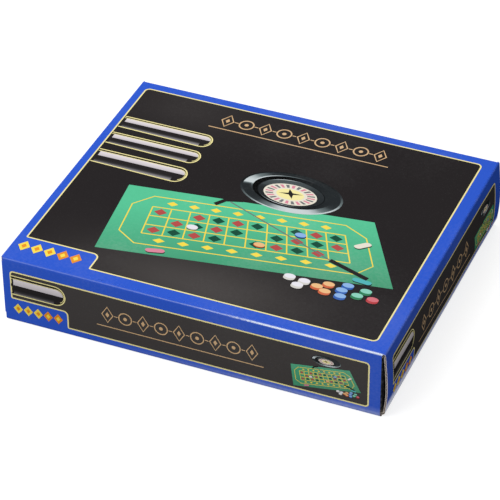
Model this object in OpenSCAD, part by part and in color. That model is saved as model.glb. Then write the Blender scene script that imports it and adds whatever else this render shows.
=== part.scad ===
// Folding carton with two tuck ends, closed round a table roulette set.
// Origin: middle of the base, on the surface that the carton stands on.
// +X runs along the front to the right, +Y from front to back, +Z up. Sizes are in millimetres.

/* [Carton] */
// Outer depth, front to back
case_depth = 286; // [284:1:320]
// Outer height
case_height = 65; // [64:1:85]
// Thickness of the micro-flute board
board = 1.6; // [1.2:0.1:1.9]
// Outside radius of the folds
fold_radius = 2; // [1.9:0.1:3]
// Air between an end panel and the dust flaps behind it
end_gap = 1.0; // [0.6:0.1:1.6]
// Height of the glue tab inside the back panel
glue_tab_height = 28; // [15:1:36]
// Set-back of the glue tab from each end
glue_tab_inset = 10; // [4:1:30]
// Slant of the glue tab's ends
glue_tab_slant = 8; // [0:1:20]

/* [Closures] */
// Length of a tuck flap from its crease to its tip
tuck_length = 25; // [18:1:28]
// Corner radius of a tuck flap
tuck_corner = 12; // [4:1:16]
// Reach of a dust flap from its crease
dust_reach = 45; // [30:1:60]
// Slope of a dust flap's upper edge, in degrees
dust_slope = 25; // [25:0.5:30]
// Cut-off corner at a dust flap's tip
dust_chamfer = 6; // [2:0.5:10]

/* [Platform] */
// Air between the platform and the dust flaps
platform_end_gap = 5.8; // [3:0.1:8]
// Air between the platform's legs and the tuck flaps
leg_gap = 3.4; // [2:0.1:10]
// Width of the lane for the rake, between wheel and chip tray
lane_width = 16; // [14:0.5:40]
// Deck left free beside the wheel and beside the tray, both taken together
deck_margin = 4; // [3:0.5:20]

/* [Wheel] */
// Outside diameter of the bowl
wheel_d = 250; // [230:1:251]
// Width of the bowl's flat rim
rim_width = 20; // [15:0.5:24]
// Height of the rim over the platform
rim_height = 5; // [4:0.5:7]
// Wall of the bowl
bowl_wall = 2; // [1.5:0.1:2.4]
// Depth of the bowl below the platform's top
bowl_hang = 35; // [34:0.5:37]
// Depth of the ball track below the platform's top
track_drop = 10; // [8:0.5:12]
// Radius of the well that the rotor turns in
well_radius = 71; // [68:0.5:76]
// Depth of the well's edge below the platform's top
well_edge = 21; // [18:0.5:22]
// Distance of the foot ring inside the well
foot_inset = 9; // [6:0.5:14]
// Number of ball deflectors on the apron
deflectors = 8; // [4:1:12]
// Radius of the deflector ring
deflector_ring = 86; // [82:0.5:90]
// Radius of the spindle pin
spindle_radius = 3; // [2:0.1:4]
// Number of pockets
pockets = 37; // [37:1:38]
// Inner radius of the number ring, where the pockets start
ring_inner = 54; // [50:0.5:58]
// Inner radius of the pockets
pocket_inner = 40; // [34:0.5:44]
// Thickness of a fret between two pockets
fret = 1.2; // [0.8:0.1:1.6]
// Thickness of the rotor's plate
plate_t = 1.7; // [1.4:0.1:2.2]
// Height of the frets and of the number ring's inner edge over the plate
fret_height = 2.6; // [2:0.1:3.2]
// Rise of the cone over the plate
cone_rise = 14; // [10:0.5:15]
// Radius of the turret's foot
turret_radius = 5.8; // [5:0.1:8]
// Height of the turret over the platform's top
turret_rise = 15; // [10:0.5:16]
// Radius of a turret arm
arm_radius = 1.5; // [1.2:0.1:2]
// Reach of a turret arm from the axis
arm_reach = 30; // [22:0.5:40]

/* [Chips] */
// Diameter of a chip
chip_d = 20; // [18:0.5:20.5]
// Thickness of a chip
chip_t = 2.2; // [1.8:0.1:2.4]
// Chips of each colour: blue, orange, white, green, red
chip_counts = [22, 20, 20, 14, 14];
// Wall of the chip tray
tray_wall = 1.2; // [0.8:0.1:1.4]
// Length of a chip trough
trough_length = 130; // [126:1:134]
// Front end of the tray, measured from the middle of the carton
tray_front = 106; // [104:1:108]
// Length and width of a plaque
plaque_size = [36, 14];
// Thickness of a plaque
plaque_t = 2.5; // [2:0.1:3]
// Diameter of the ball
ball_d = 11; // [9:0.5:12]

/* [Rake and cloth] */
// Length over all of the rake
rake_length = 262; // [240:1:266]
// Diameter of the rake's grip
grip_d = 10; // [8:0.5:11]
// Length of the grip
grip_length = 88; // [60:1:110]
// Diameter of the rake's rod
rod_d = 3.5; // [3:0.1:5]
// Width of the rake's head
head_width = 50; // [40:1:54]
// Height of the rake's head
head_height = 13; // [10:0.5:15]
// Thickness of the rake's head
head_t = 3; // [2:0.1:4]
// Folded size of the cloth, along X and along Y
cloth_size = [262, 200];
// Thickness of the folded cloth
cloth_t = 5; // [3:0.1:5.6]

/* [Hidden] */
$fn = 96;

// Clearances
seat = 0.2;
fold_gap = 0.3;
side_gap = 0.3;
run_gap = 0.3;
pin_gap = 0.05;
slack = 0.5;

// The length over all comes from what stands side by side on the platform.
trough_r = chip_d / 2 + 0.3;
trough_pitch = 2 * trough_r + tray_wall;
trough_out = trough_r + tray_wall;
tray_half = trough_pitch / 2 + trough_out;
flange_edge = 2.6;
platform_x = (deck_margin + wheel_d + lane_width + 2 * (tray_half + flange_edge)) / 2;

// Ends of the tube: the dust flaps fold at tube_end, the walls stop just behind them.
tube_end = platform_x + platform_end_gap + board;
case_length = 2 * (tube_end + end_gap + board);
wall_end = tube_end - board - 0.1;
inner_radius = max(fold_radius - board, 0.2);

// End panels hang from the outer top edges.
end_top = case_height - fold_radius - fold_gap;
end_low = board + 0.4;

// Tuck flaps: the crease lies on the inner side of the fold. As an end panel swings out by an angle,
// its flap turns by tuck_follow of it, and the tilt keeps the tip over the base the whole way.
tuck_follow = 0.85;
crease_x = case_length / 2 - board - 0.1;
crease_z = 2 * board + seat + 0.1;
crease_drop = case_height - crease_z;
tuck_tilt = (tuck_length * tuck_follow * tuck_follow / (2 * crease_drop) + 1.5 * board / tuck_length) * 180 / PI;
tuck_width = case_depth - 2 * (2 * board + 0.8);

// Dust flaps: the lower edge clears the tuck flap that slides out under it.
dust_top = case_height - board - 2;
dust_low = 4 * board + seat + tuck_length * tuck_length / (11 * crease_drop);
dust_rise = 3;

// Levels inside
floor_top = board;
cloth_low = floor_top + seat;
cloth_top = cloth_low + cloth_t;
deck_top = cloth_top + 1.8 + bowl_hang;
deck_low = deck_top - board;

// Platform
platform_y = case_depth / 2 - 2 * board - side_gap;
leg_x = case_length / 2 - board - tuck_length - leg_gap;

// Wheel, at the left end of the platform
wheel_r = wheel_d / 2;
wheel_x = wheel_r + deck_margin / 4 - platform_x;
neck_r = wheel_r - rim_width;
track_r = neck_r - 4;
floor_z = bowl_wall + 4 - bowl_hang;
foot_r = well_radius - foot_inset;
boss_r = spindle_radius + 5;
plate_low = floor_z + 1 + run_gap;
plate_top = plate_low + plate_t;
rotor_r = well_radius - 1;
cone_top = plate_top + cone_rise;
hole_r = neck_r + bowl_wall + 1.5;

// Chip tray, at the right end of the platform
chip_r = chip_d / 2;
tray_x = wheel_x + wheel_r + lane_width + flange_edge + tray_half;
tray_y0 = flange_edge - tray_front;
trough_y1 = tray_y0 + tray_wall + trough_length;
flange_top = deck_top + tray_wall;
trough_axis = flange_top - 2.5;
pocket_y0 = trough_y1 + tray_wall;
pocket_w = 2 * (tray_half - tray_wall);
pocket_l = 3 * plaque_size[1] + 4 * slack;
pocket_z = flange_top - 3 * plaque_t - 5;
pocket_y1 = pocket_y0 + pocket_l;
cup_r = ball_d / 2 + 1;
cup_y = pocket_y1 + 2 * tray_wall + cup_r + 1;
cup_z = flange_top - ball_d + 2;
tray_y1 = cup_y + cup_r + tray_wall;

// Rake, in the lane between wheel and tray
lane_x = wheel_x + wheel_r + lane_width / 2;
rake_front = -platform_y + 6;
rake_z = deck_top + seat + grip_d / 2;
head_bend = head_width * 0.62;
head_sag = head_bend - sqrt(head_bend * head_bend - head_width * head_width / 4);

// 2D helpers

module rounded_rect(w, h, r) {
  square([w - 2 * r, h], center = true);
  square([w, h - 2 * r], center = true);
  for (sx = [-1, 1], sy = [-1, 1])
    translate([sx * (w / 2 - r), sy * (h / 2 - r)])
      circle(r);
}

// Draws along X what is given as (Y, Z).
module along_x(x0, x1) {
  translate([x0, 0, 0])
    rotate([90, 0, 90])
      linear_extrude(x1 - x0)
        children();
}

// Draws along Y, from -length / 2 to length / 2, what is given as (X, Z).
module along_y(length) {
  translate([0, length / 2, 0])
    rotate([90, 0, 0])
      linear_extrude(length)
        children();
}

// The tube's wall between two heights
module tube_wall(half_length, z0, z1) {
  along_x(-half_length, half_length)
    intersection() {
      difference() {
        translate([0, case_height / 2])
          rounded_rect(case_depth, case_height, fold_radius);
        translate([0, case_height / 2])
          rounded_rect(case_depth - 2 * board, case_height - 2 * board, inner_radius);
      }
      translate([-case_depth, z0])
        square([2 * case_depth, z1 - z0]);
    }
}

// Carton

module bottom_panel() {
  color("gainsboro")
    tube_wall(tube_end, 0, fold_radius);
}

module top_panel() {
  color("royalblue")
    intersection() {
      tube_wall(case_length / 2, case_height - fold_radius, case_height);
      along_y(case_depth)
        translate([0, case_height / 2])
          rounded_rect(case_length, case_height, fold_radius);
    }
}

module side_wall() {
  translate([-wall_end, -case_depth / 2, fold_radius])
    cube([2 * wall_end, board, case_height - 2 * fold_radius]);
}

module front_panel() {
  color("mediumblue")
    side_wall();
}

module back_panel() {
  color("mediumblue")
    mirror([0, 1, 0])
      side_wall();
}

// Glued inside the back panel, with slanted ends
module glue_tab() {
  color("silver")
    translate([0, case_depth / 2 - board, 0])
      rotate([90, 0, 0])
        linear_extrude(board)
          polygon([
            [glue_tab_inset - wall_end, board + inner_radius],
            [wall_end - glue_tab_inset, board + inner_radius],
            [wall_end - glue_tab_inset - glue_tab_slant, board + glue_tab_height],
            [glue_tab_inset + glue_tab_slant - wall_end, board + glue_tab_height]
          ]);
}

module end_panel() {
  along_y(case_depth - 2 * fold_gap)
    intersection() {
      translate([case_length / 2 - board, end_low])
        square([board, end_top - end_low]);
      translate([0, (case_height + end_low) / 2])
        rounded_rect(case_length, case_height - end_low, fold_radius);
    }
}

module tuck_flap() {
  translate([crease_x, 0, crease_z])
    rotate([0, tuck_tilt, 0])
      translate([0, 0, -board - 0.1])
        linear_extrude(board) {
          translate([tuck_corner - tuck_length, -tuck_width / 2])
            square([tuck_length - tuck_corner, tuck_width]);
          translate([-tuck_length, tuck_corner - tuck_width / 2])
            square([tuck_length, tuck_width - 2 * tuck_corner]);
          for (s = [-1, 1])
            translate([tuck_corner - tuck_length, s * (tuck_width / 2 - tuck_corner)])
              circle(tuck_corner);
        }
}

function dust_upper(u) = dust_top - u * tan(dust_slope);
function dust_lower(u) = dust_low + u * tan(dust_rise);

module dust_flap() {
  along_x(tube_end - board, tube_end)
    translate([-case_depth / 2, 0])
      polygon([
        [fold_gap, dust_lower(0)],
        [dust_reach - dust_chamfer, dust_lower(dust_reach - dust_chamfer)],
        [dust_reach, dust_lower(dust_reach) + dust_chamfer],
        [dust_reach, dust_upper(dust_reach) - dust_chamfer],
        [dust_reach - dust_chamfer, dust_upper(dust_reach - dust_chamfer)],
        [fold_gap, dust_upper(0)]
      ]);
}

module right_end_panel() {
  color("navy")
    end_panel();
}

module right_tuck_flap() {
  color("lightgray")
    tuck_flap();
}

module right_front_dust_flap() {
  color("silver")
    dust_flap();
}

module right_back_dust_flap() {
  color("silver")
    mirror([0, 1, 0])
      dust_flap();
}

module left_end_panel() {
  color("navy")
    mirror([1, 0, 0])
      end_panel();
}

module left_tuck_flap() {
  color("lightgray")
    mirror([1, 0, 0])
      tuck_flap();
}

module left_front_dust_flap() {
  color("silver")
    mirror([1, 0, 0])
      dust_flap();
}

module left_back_dust_flap() {
  color("silver")
    mirror([1, 0, 0])
      mirror([0, 1, 0])
        dust_flap();
}

// Platform: a deck with two legs folded down from its long edges

module platform_deck() {
  color("tan")
    difference() {
      translate([-platform_x, -platform_y, deck_low])
        cube([2 * platform_x, 2 * platform_y, board]);
      translate([wheel_x, 0, deck_low - 1])
        cylinder(r = hole_r, h = board + 2);
      translate([tray_x - tray_half - slack, tray_y0 - slack, deck_low - 1])
        cube([2 * (tray_half + slack), tray_y1 - tray_y0 + 2 * slack, board + 2]);
    }
}

module platform_leg() {
  translate([-leg_x, -platform_y, floor_top])
    cube([2 * leg_x, board, deck_low - floor_top]);
}

module platform_front_leg() {
  color("burlywood")
    platform_leg();
}

module platform_back_leg() {
  color("burlywood")
    mirror([0, 1, 0])
      platform_leg();
}

// Wheel

module at_wheel() {
  translate([wheel_x, 0, deck_top])
    children();
}

// Height of the apron's upper face at radius r
function apron(r) = -track_drop - (well_edge - track_drop) * (track_r - r) / (track_r - well_radius);

module wheel_bowl() {
  color("dimgray")
    at_wheel() {
      rotate_extrude()
        polygon([
          [wheel_r - bowl_wall, 0],
          [wheel_r, 0],
          [wheel_r, rim_height - 1.4],
          [wheel_r - 0.4, rim_height - 0.4],
          [wheel_r - 1.4, rim_height],
          [neck_r + 5, rim_height - 0.9],
          [neck_r + 2, rim_height - 0.5],
          [neck_r + 0.6, rim_height],
          [neck_r - 0.4, rim_height - 0.5],
          [neck_r - 1, rim_height - 2],
          [track_r, 3 - track_drop],
          [track_r - 1, 1 - track_drop],
          [track_r - 3.5, apron(track_r - 3.5)],
          [well_radius, -well_edge],
          [well_radius, floor_z],
          [boss_r, floor_z],
          [boss_r, floor_z + 1],
          [0, floor_z + 1],
          [0, floor_z - bowl_wall],
          [foot_r - 1.8, floor_z - bowl_wall],
          [foot_r - 1.8, -bowl_hang],
          [foot_r, -bowl_hang],
          [foot_r, floor_z - bowl_wall],
          [well_radius + bowl_wall, floor_z - bowl_wall],
          [well_radius + bowl_wall, apron(well_radius + bowl_wall) - bowl_wall - 0.3],
          [track_r + bowl_wall - 1, apron(track_r - 1) - bowl_wall],
          [track_r + bowl_wall, 2 - track_drop],
          [neck_r + bowl_wall, rim_height - bowl_wall - 1],
          [wheel_r - bowl_wall, rim_height - bowl_wall]
        ]);
      for (i = [0 : deflectors - 1])
        rotate([0, 0, i * 360 / deflectors])
          translate([deflector_ring, 0, apron(deflector_ring) - 1])
            rotate([0, 0, i % 2 == 0 ? 0 : 90])
              linear_extrude(3)
                polygon([[-4, 0], [0, -1.6], [4, 0], [0, 1.6]]);
    }
}

module spindle_pin() {
  color("lightgray")
    at_wheel()
      translate([0, 0, floor_z + 1])
        cylinder(r = spindle_radius, h = cone_top - 3 - floor_z - 1 - run_gap);
}

module rotor_plate() {
  color("black")
    at_wheel() {
      difference() {
        translate([0, 0, plate_low])
          cylinder(r = rotor_r, h = plate_top - plate_low);
        translate([0, 0, plate_low - 1])
          cylinder(r = spindle_radius + pin_gap, h = plate_t + 2);
      }
      for (i = [0 : pockets - 1])
        rotate([0, 0, i * 360 / pockets])
          translate([pocket_inner, -fret / 2, plate_top - 0.4])
            cube([ring_inner - pocket_inner, fret, fret_height + 0.4]);
    }
}

module number_ring() {
  color("ivory")
    at_wheel()
      rotate_extrude()
        polygon([
          [ring_inner + 0.2, plate_top],
          [rotor_r, plate_top],
          [rotor_r, -well_edge],
          [rotor_r - 0.6, 0.4 - well_edge],
          [ring_inner + 0.2, plate_top + fret_height + 0.4]
        ]);
}

// The cone's outline, from 0 at its rim to 1 at the turret's foot
function cone_radius(s) = turret_radius + 0.2 + (pocket_inner - turret_radius - 1) * (1 - s);
function cone_height(s) = plate_top + fret_height * 1.2 + (cone_rise - fret_height * 1.2) * pow(s, 1.6);

module rotor_cone() {
  color("khaki")
    at_wheel()
      difference() {
        rotate_extrude()
          polygon(concat(
            [[0, plate_top], [pocket_inner - 0.2, plate_top], [pocket_inner - 0.2, plate_top + fret_height]],
            [for (i = [1 : 8]) [cone_radius(i / 8), cone_height(i / 8)]],
            [[0, cone_top]]
          ));
        translate([0, 0, plate_top - 1])
          cylinder(r = spindle_radius + pin_gap, h = cone_top - 3 - plate_top + 1);
      }
}

// Turned post with four arms. The profile gives radius over turret_radius, and height from
// the cone's top, 0, to the tip, 1.
turret_profile = [
  [0, 0], [1, 0], [1, 0.06], [0.59, 0.15], [0.48, 0.37], [0.79, 0.44], [0.79, 0.59],
  [0.45, 0.67], [0.34, 0.78], [0.55, 0.85], [0.55, 0.93], [0.28, 1], [0, 1]
];
arm_level = 0.52;
knob_profile = [[0, -0.7], [1.07, -0.7], [1.87, 0.4], [1.87, 1.2], [0.93, 2], [0, 2]];

module turret() {
  color("gold")
    at_wheel() {
      rotate_extrude()
        polygon([for (q = turret_profile) [q[0] * turret_radius, cone_top + q[1] * (turret_rise - cone_top)]]);
      for (i = [0 : 3])
        rotate([0, 0, 45 + 90 * i])
          rotate([0, 90, 0])
            translate([-cone_top - arm_level * (turret_rise - cone_top), 0, turret_radius / 2]) {
              cylinder(r = arm_radius, h = arm_reach - turret_radius);
              translate([0, 0, arm_reach - turret_radius])
                rotate_extrude()
                  polygon([for (q = knob_profile) q * arm_radius]);
            }
    }
}

// Chip tray: two troughs, a pocket for plaques and a cup for the ball, hung in the deck by a flange

// Half-round channel of radius r from y0 to y1, with straight sides up to a height
module trough(r, y0, y1, top) {
  translate([0, y1, trough_axis])
    rotate([90, 0, 0])
      linear_extrude(y1 - y0)
        polygon(concat(
          [[-r, top - trough_axis]],
          [for (i = [0 : 16]) [-r * cos(i * 180 / 16), -r * sin(i * 180 / 16)]],
          [[r, top - trough_axis]]
        ));
}

module chip_tray() {
  color("whitesmoke")
    translate([tray_x, 0, 0])
      difference() {
        union() {
          translate([0, (tray_y0 + tray_y1) / 2, deck_top])
            linear_extrude(tray_wall)
              rounded_rect(2 * (tray_half + flange_edge), tray_y1 - tray_y0 + 2 * flange_edge, 3);
          for (s = [-1, 1])
            translate([s * trough_pitch / 2, 0, 0])
              trough(trough_out, tray_y0, trough_y1 + tray_wall, deck_top + 0.2);
          translate([-tray_half, trough_y1, pocket_z - tray_wall])
            cube([2 * tray_half, pocket_l + 2 * tray_wall, deck_top - pocket_z + tray_wall + 0.1]);
          translate([0, cup_y, cup_z - tray_wall])
            cylinder(r = cup_r + tray_wall, h = deck_top - cup_z + tray_wall + 0.1);
        }
        for (s = [-1, 1])
          translate([s * trough_pitch / 2, 0, 0])
            trough(trough_r, tray_y0 + tray_wall, trough_y1, flange_top + 2);
        translate([-pocket_w / 2, pocket_y0, pocket_z])
          cube([pocket_w, pocket_l, 2 * (flange_top - pocket_z)]);
        translate([0, cup_y, cup_z])
          cylinder(r = cup_r, h = 2 * (flange_top - cup_z));
      }
}

// Comb profile of a row of chips, as (radius, length) points
function chip_comb(n) = concat(
  [[0, 0]],
  [for (i = [0 : n - 1], k = [0 : 3])
    [k == 0 || k == 3 ? chip_r - 0.35 : chip_r, chip_t * (i + [0, 0.14, 0.86, 1][k])]],
  [[0, chip_t * n]]
);

// side is -1 for the left trough and 1 for the right one; after counts the chips in front of the row.
module chip_row(side, after, n) {
  translate([tray_x + side * trough_pitch / 2, tray_y0 + tray_wall + seat + after * chip_t, trough_axis - 0.1])
    rotate([-90, 0, 0])
      rotate_extrude()
        polygon(chip_comb(n));
}

module chips_blue() {
  color("cornflowerblue")
    chip_row(-1, 0, chip_counts[0]);
}

module chips_orange() {
  color("orange")
    chip_row(-1, chip_counts[0], chip_counts[1]);
}

module chips_white() {
  color("white")
    chip_row(1, 0, chip_counts[2]);
}

module chips_green() {
  color("seagreen")
    chip_row(1, chip_counts[2], chip_counts[3]);
}

module chips_red() {
  color("crimson")
    chip_row(1, chip_counts[2] + chip_counts[3], chip_counts[4]);
}

// A pile of three plaques with round ends, with a step at each joint
module plaque_pile(place) {
  translate([tray_x, pocket_y0 + slack + (plaque_size[1] + slack) * place + plaque_size[1] / 2, pocket_z])
    for (i = [0 : 2], k = [0, 1])
      translate([0, 0, i * plaque_t + k * 0.3])
        linear_extrude(k == 0 ? plaque_t : plaque_t - 0.6) {
          w = plaque_size[1] - (k == 0 ? 0.6 : 0);
          square([plaque_size[0] - plaque_size[1], w], center = true);
          for (s = [-1, 1])
            translate([s * (plaque_size[0] - plaque_size[1]) / 2, 0])
              circle(w / 2);
        }
}

module plaques_turquoise() {
  color("mediumturquoise")
    plaque_pile(0);
}

module plaques_cream() {
  color("cornsilk")
    plaque_pile(1);
}

module plaques_pink() {
  color("lightpink")
    plaque_pile(2);
}

module ball() {
  color("white")
    translate([tray_x, cup_y, cup_z + seat + ball_d / 2])
      sphere(d = ball_d);
}

// Rake: grip, rod and a curved blade, lying on the deck

module rake_grip() {
  color("black")
    translate([lane_x, rake_front + rake_length - grip_length, rake_z])
      rotate([-90, 0, 0])
        rotate_extrude()
          polygon([
            [0, 0],
            [grip_d / 2 - 1.8, 0],
            [grip_d / 2 - 0.8, 3],
            [grip_d / 2, grip_length / 7],
            [grip_d / 2, grip_length - 4],
            [grip_d / 2 - 1, grip_length - 1],
            [grip_d / 2 - 2.5, grip_length],
            [0, grip_length]
          ]);
}

module rake_rod() {
  color("silver")
    translate([lane_x, rake_front + head_t, rake_z])
      rotate([-90, 0, 0])
        cylinder(d = rod_d, h = rake_length - grip_length - head_t);
}

module rake_head() {
  color("black")
    translate([lane_x, rake_front + head_bend, deck_top])
      difference() {
        intersection() {
          difference() {
            cylinder(r = head_bend, h = head_height);
            translate([0, 0, -1])
              cylinder(r = head_bend - head_t, h = head_height + 2);
          }
          translate([-head_width / 2, -head_bend - 1, 0])
            cube([head_width, head_sag + head_t, head_height]);
        }
        translate([0, head_t - head_bend, rake_z - deck_top])
          rotate([90, 0, 0])
            translate([0, 0, -0.01])
              cylinder(d = rod_d, h = 0.01);
      }
}

// Folded playing cloth under the platform
module layout_cloth() {
  color("mediumseagreen")
    translate([0, 0, cloth_low])
      linear_extrude(cloth_t)
        rounded_rect(cloth_size[0], cloth_size[1], 3);
}

bottom_panel();
front_panel();
top_panel();
back_panel();
glue_tab();
right_end_panel();
right_tuck_flap();
right_front_dust_flap();
right_back_dust_flap();
left_end_panel();
left_tuck_flap();
left_front_dust_flap();
left_back_dust_flap();
platform_deck();
platform_front_leg();
platform_back_leg();
wheel_bowl();
spindle_pin();
rotor_plate();
number_ring();
rotor_cone();
turret();
chip_tray();
chips_blue();
chips_orange();
chips_white();
chips_green();
chips_red();
plaques_turquoise();
plaques_cream();
plaques_pink();
ball();
rake_grip();
rake_rod();
rake_head();
layout_cloth();
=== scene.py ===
import math
import random

import bmesh
import bpy
from mathutils import Matrix, Vector


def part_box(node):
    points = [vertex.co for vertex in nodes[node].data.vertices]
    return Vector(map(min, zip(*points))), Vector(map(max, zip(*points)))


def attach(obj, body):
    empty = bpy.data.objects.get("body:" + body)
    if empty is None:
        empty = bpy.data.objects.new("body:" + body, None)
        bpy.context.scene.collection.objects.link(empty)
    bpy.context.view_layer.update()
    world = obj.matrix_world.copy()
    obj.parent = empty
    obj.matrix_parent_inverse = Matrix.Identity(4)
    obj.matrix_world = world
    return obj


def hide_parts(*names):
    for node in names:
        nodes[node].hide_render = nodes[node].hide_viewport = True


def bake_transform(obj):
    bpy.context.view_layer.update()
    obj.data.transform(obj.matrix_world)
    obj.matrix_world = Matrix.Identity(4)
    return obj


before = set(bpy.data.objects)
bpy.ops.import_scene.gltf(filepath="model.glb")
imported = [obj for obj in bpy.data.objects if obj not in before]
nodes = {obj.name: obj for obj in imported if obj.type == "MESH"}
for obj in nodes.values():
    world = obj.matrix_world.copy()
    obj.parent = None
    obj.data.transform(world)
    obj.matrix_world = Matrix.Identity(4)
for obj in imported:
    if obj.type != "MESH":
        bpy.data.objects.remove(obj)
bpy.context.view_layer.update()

mm = 0.001

# Carton sizes in millimetres, as in the part
half_length, half_depth, height = 170.0, 143.0, 65.0
board = 1.6
fold = 2.0
wall_end, left_wall = 166.5, 168.0
tube_end = 167.4
lid_end = 168.0
flap_tilt = math.radians(13.9)


# Camera and light

def add_camera():
    data = bpy.data.cameras.new("photo_camera")
    data.sensor_width = 36
    data.lens = 187.53
    data.clip_end = 20
    camera = bpy.data.objects.new("photo_camera", data)
    turn = Matrix(((0.923131, -0.227849, 0.3097), (0.384453, 0.557425, -0.735848),
                   (-0.004973, 0.79835, 0.602174))).to_4x4()
    camera.matrix_world = Matrix.Translation((0.68685, -1.64531, 1.36535)) @ turn
    bpy.context.scene.collection.objects.link(camera)
    bpy.context.scene.camera = camera


def add_lamp(name, place, aim, size, watts):
    data = bpy.data.lights.new(name, "AREA")
    data.shape = "RECTANGLE"
    data.size, data.size_y = size
    data.energy = watts
    lamp = bpy.data.objects.new(name, data)
    lamp.location = place
    lamp.rotation_euler = (Vector(aim) - Vector(place)).to_track_quat("-Z", "Y").to_euler()
    bpy.context.scene.collection.objects.link(lamp)


def camera_sees(tree):
    """1 where the camera, a reflection or clear glass looks, 0 for light that falls on the object."""
    ray = put(tree, "ShaderNodeLightPath").outputs
    seen = sums(tree, "MAXIMUM", ray["Is Camera Ray"], ray["Is Glossy Ray"])
    return sums(tree, "MAXIMUM", seen, ray["Is Transmission Ray"])


def add_world():
    world = bpy.data.worlds.new("studio")
    bpy.context.scene.world = world
    world.use_nodes = True
    tree = world.node_tree
    back = tree.nodes["Background"]
    back.inputs["Color"].default_value = (1, 1, 1, 1)
    strength = put(tree, "ShaderNodeMix", {"Factor": camera_sees(tree), "A": 0.3, "B": 1.0}, data_type="FLOAT")
    tree.links.new(strength.outputs["Result"], back.inputs["Strength"])


def add_floor():
    mesh = bpy.data.meshes.new("floor")
    reach, low = 4.0, -0.0003
    mesh.from_pydata([(-reach, -reach, low), (reach, -reach, low), (reach, reach, low), (-reach, reach, low)],
                     [], [(0, 1, 2, 3)])
    floor = bpy.data.objects.new("floor", mesh)
    bpy.context.scene.collection.objects.link(floor)
    material, tree, shader = new_material("floor_paper", roughness=1.0, specular=0.0)
    shader.inputs["Base Color"].default_value = (0.36, 0.36, 0.36, 1)
    shader.inputs["Emission Color"].default_value = (1, 1, 1, 1)
    tree.links.new(sums(tree, "MULTIPLY", camera_sees(tree), 0.8), shader.inputs["Emission Strength"])
    mesh.materials.append(material)


# Colours

def srgb(r, g, b):
    def lin(c):
        c /= 255
        return c / 12.92 if c <= 0.04045 else ((c + 0.055) / 1.055) ** 2.4
    return (lin(r), lin(g), lin(b), 1.0)


# Shader node groups

def new_group(name, inputs, outputs):
    """inputs: (name, kind, value); outputs: (name, kind)."""
    group = bpy.data.node_groups.new(name, "ShaderNodeTree")
    for label, kind, value in inputs:
        socket = group.interface.new_socket(label, in_out="INPUT", socket_type="NodeSocket" + kind)
        if value is not None:
            socket.default_value = value
    for label, kind in outputs:
        group.interface.new_socket(label, in_out="OUTPUT", socket_type="NodeSocket" + kind)
    start = group.nodes.new("NodeGroupInput")
    end = group.nodes.new("NodeGroupOutput")
    return group, start.outputs, end.inputs


def put(tree, kind, values=(), **settings):
    """A node with settings, and values or links for its inputs by name or number."""
    n = tree.nodes.new(kind)
    for key, value in settings.items():
        setattr(n, key, value)
    for key, value in dict(values).items():
        socket = n.inputs[key]
        if isinstance(value, bpy.types.NodeSocket):
            tree.links.new(value, socket)
        else:
            socket.default_value = value
    return n


def sums(tree, operation, a, b, clamp=False):
    return put(tree, "ShaderNodeMath", {0: a, 1: b}, operation=operation, use_clamp=clamp).outputs[0]


def blend_colours(tree, factor, a, b):
    return put(tree, "ShaderNodeMix", {0: factor, 6: a, 7: b}, data_type="RGBA").outputs[2]


def ramp(tree, factor, low, high):
    return put(tree, "ShaderNodeMapRange", {"Value": factor, "From Min": low, "From Max": high},
               clamp=True).outputs[0]


def noise(tree, vector, scale, detail, rough=0.55):
    return put(tree, "ShaderNodeTexNoise", {"Vector": vector, "Scale": scale, "Detail": detail,
                                            "Roughness": rough}).outputs["Fac"]


def make_ink_group():
    """Offset print under a thin varnish: faint mottle in tone, gloss and level."""
    g, i, o = new_group("varnished_ink",
                        [("Colour", "Color", (0.5, 0.5, 0.5, 1)), ("Mottle", "Float", 0.08),
                         ("Gloss", "Float", 0.35), ("Dust", "Float", 0.02)],
                        [("Colour", "Color"), ("Roughness", "Float"), ("Height", "Float")])
    at = put(g, "ShaderNodeTexCoord").outputs["Object"]
    broad = noise(g, at, 9.0, 2.0)
    fine = noise(g, at, 420.0, 3.0)
    grain = noise(g, at, 1900.0, 2.0)
    tone = sums(g, "ADD", sums(g, "MULTIPLY", broad, 0.7), sums(g, "MULTIPLY", fine, 0.3))
    tone = sums(g, "MULTIPLY", sums(g, "SUBTRACT", tone, 0.5), i["Mottle"])
    dark = blend_colours(g, sums(g, "MULTIPLY", tone, -2.0, True), i["Colour"], (0, 0, 0, 1))
    light = blend_colours(g, sums(g, "MULTIPLY", tone, 2.0, True), dark, (1, 1, 1, 1))
    speck = sums(g, "MULTIPLY", ramp(g, grain, 0.69, 0.74), i["Dust"])
    g.links.new(blend_colours(g, speck, light, (0.8, 0.8, 0.8, 1)), o["Colour"])
    g.links.new(sums(g, "ADD", i["Gloss"], sums(g, "MULTIPLY", sums(g, "SUBTRACT", fine, 0.5), 0.12)),
                o["Roughness"])
    g.links.new(sums(g, "ADD", sums(g, "MULTIPLY", broad, 0.4), sums(g, "MULTIPLY", fine, 0.1)), o["Height"])
    return g


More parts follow.
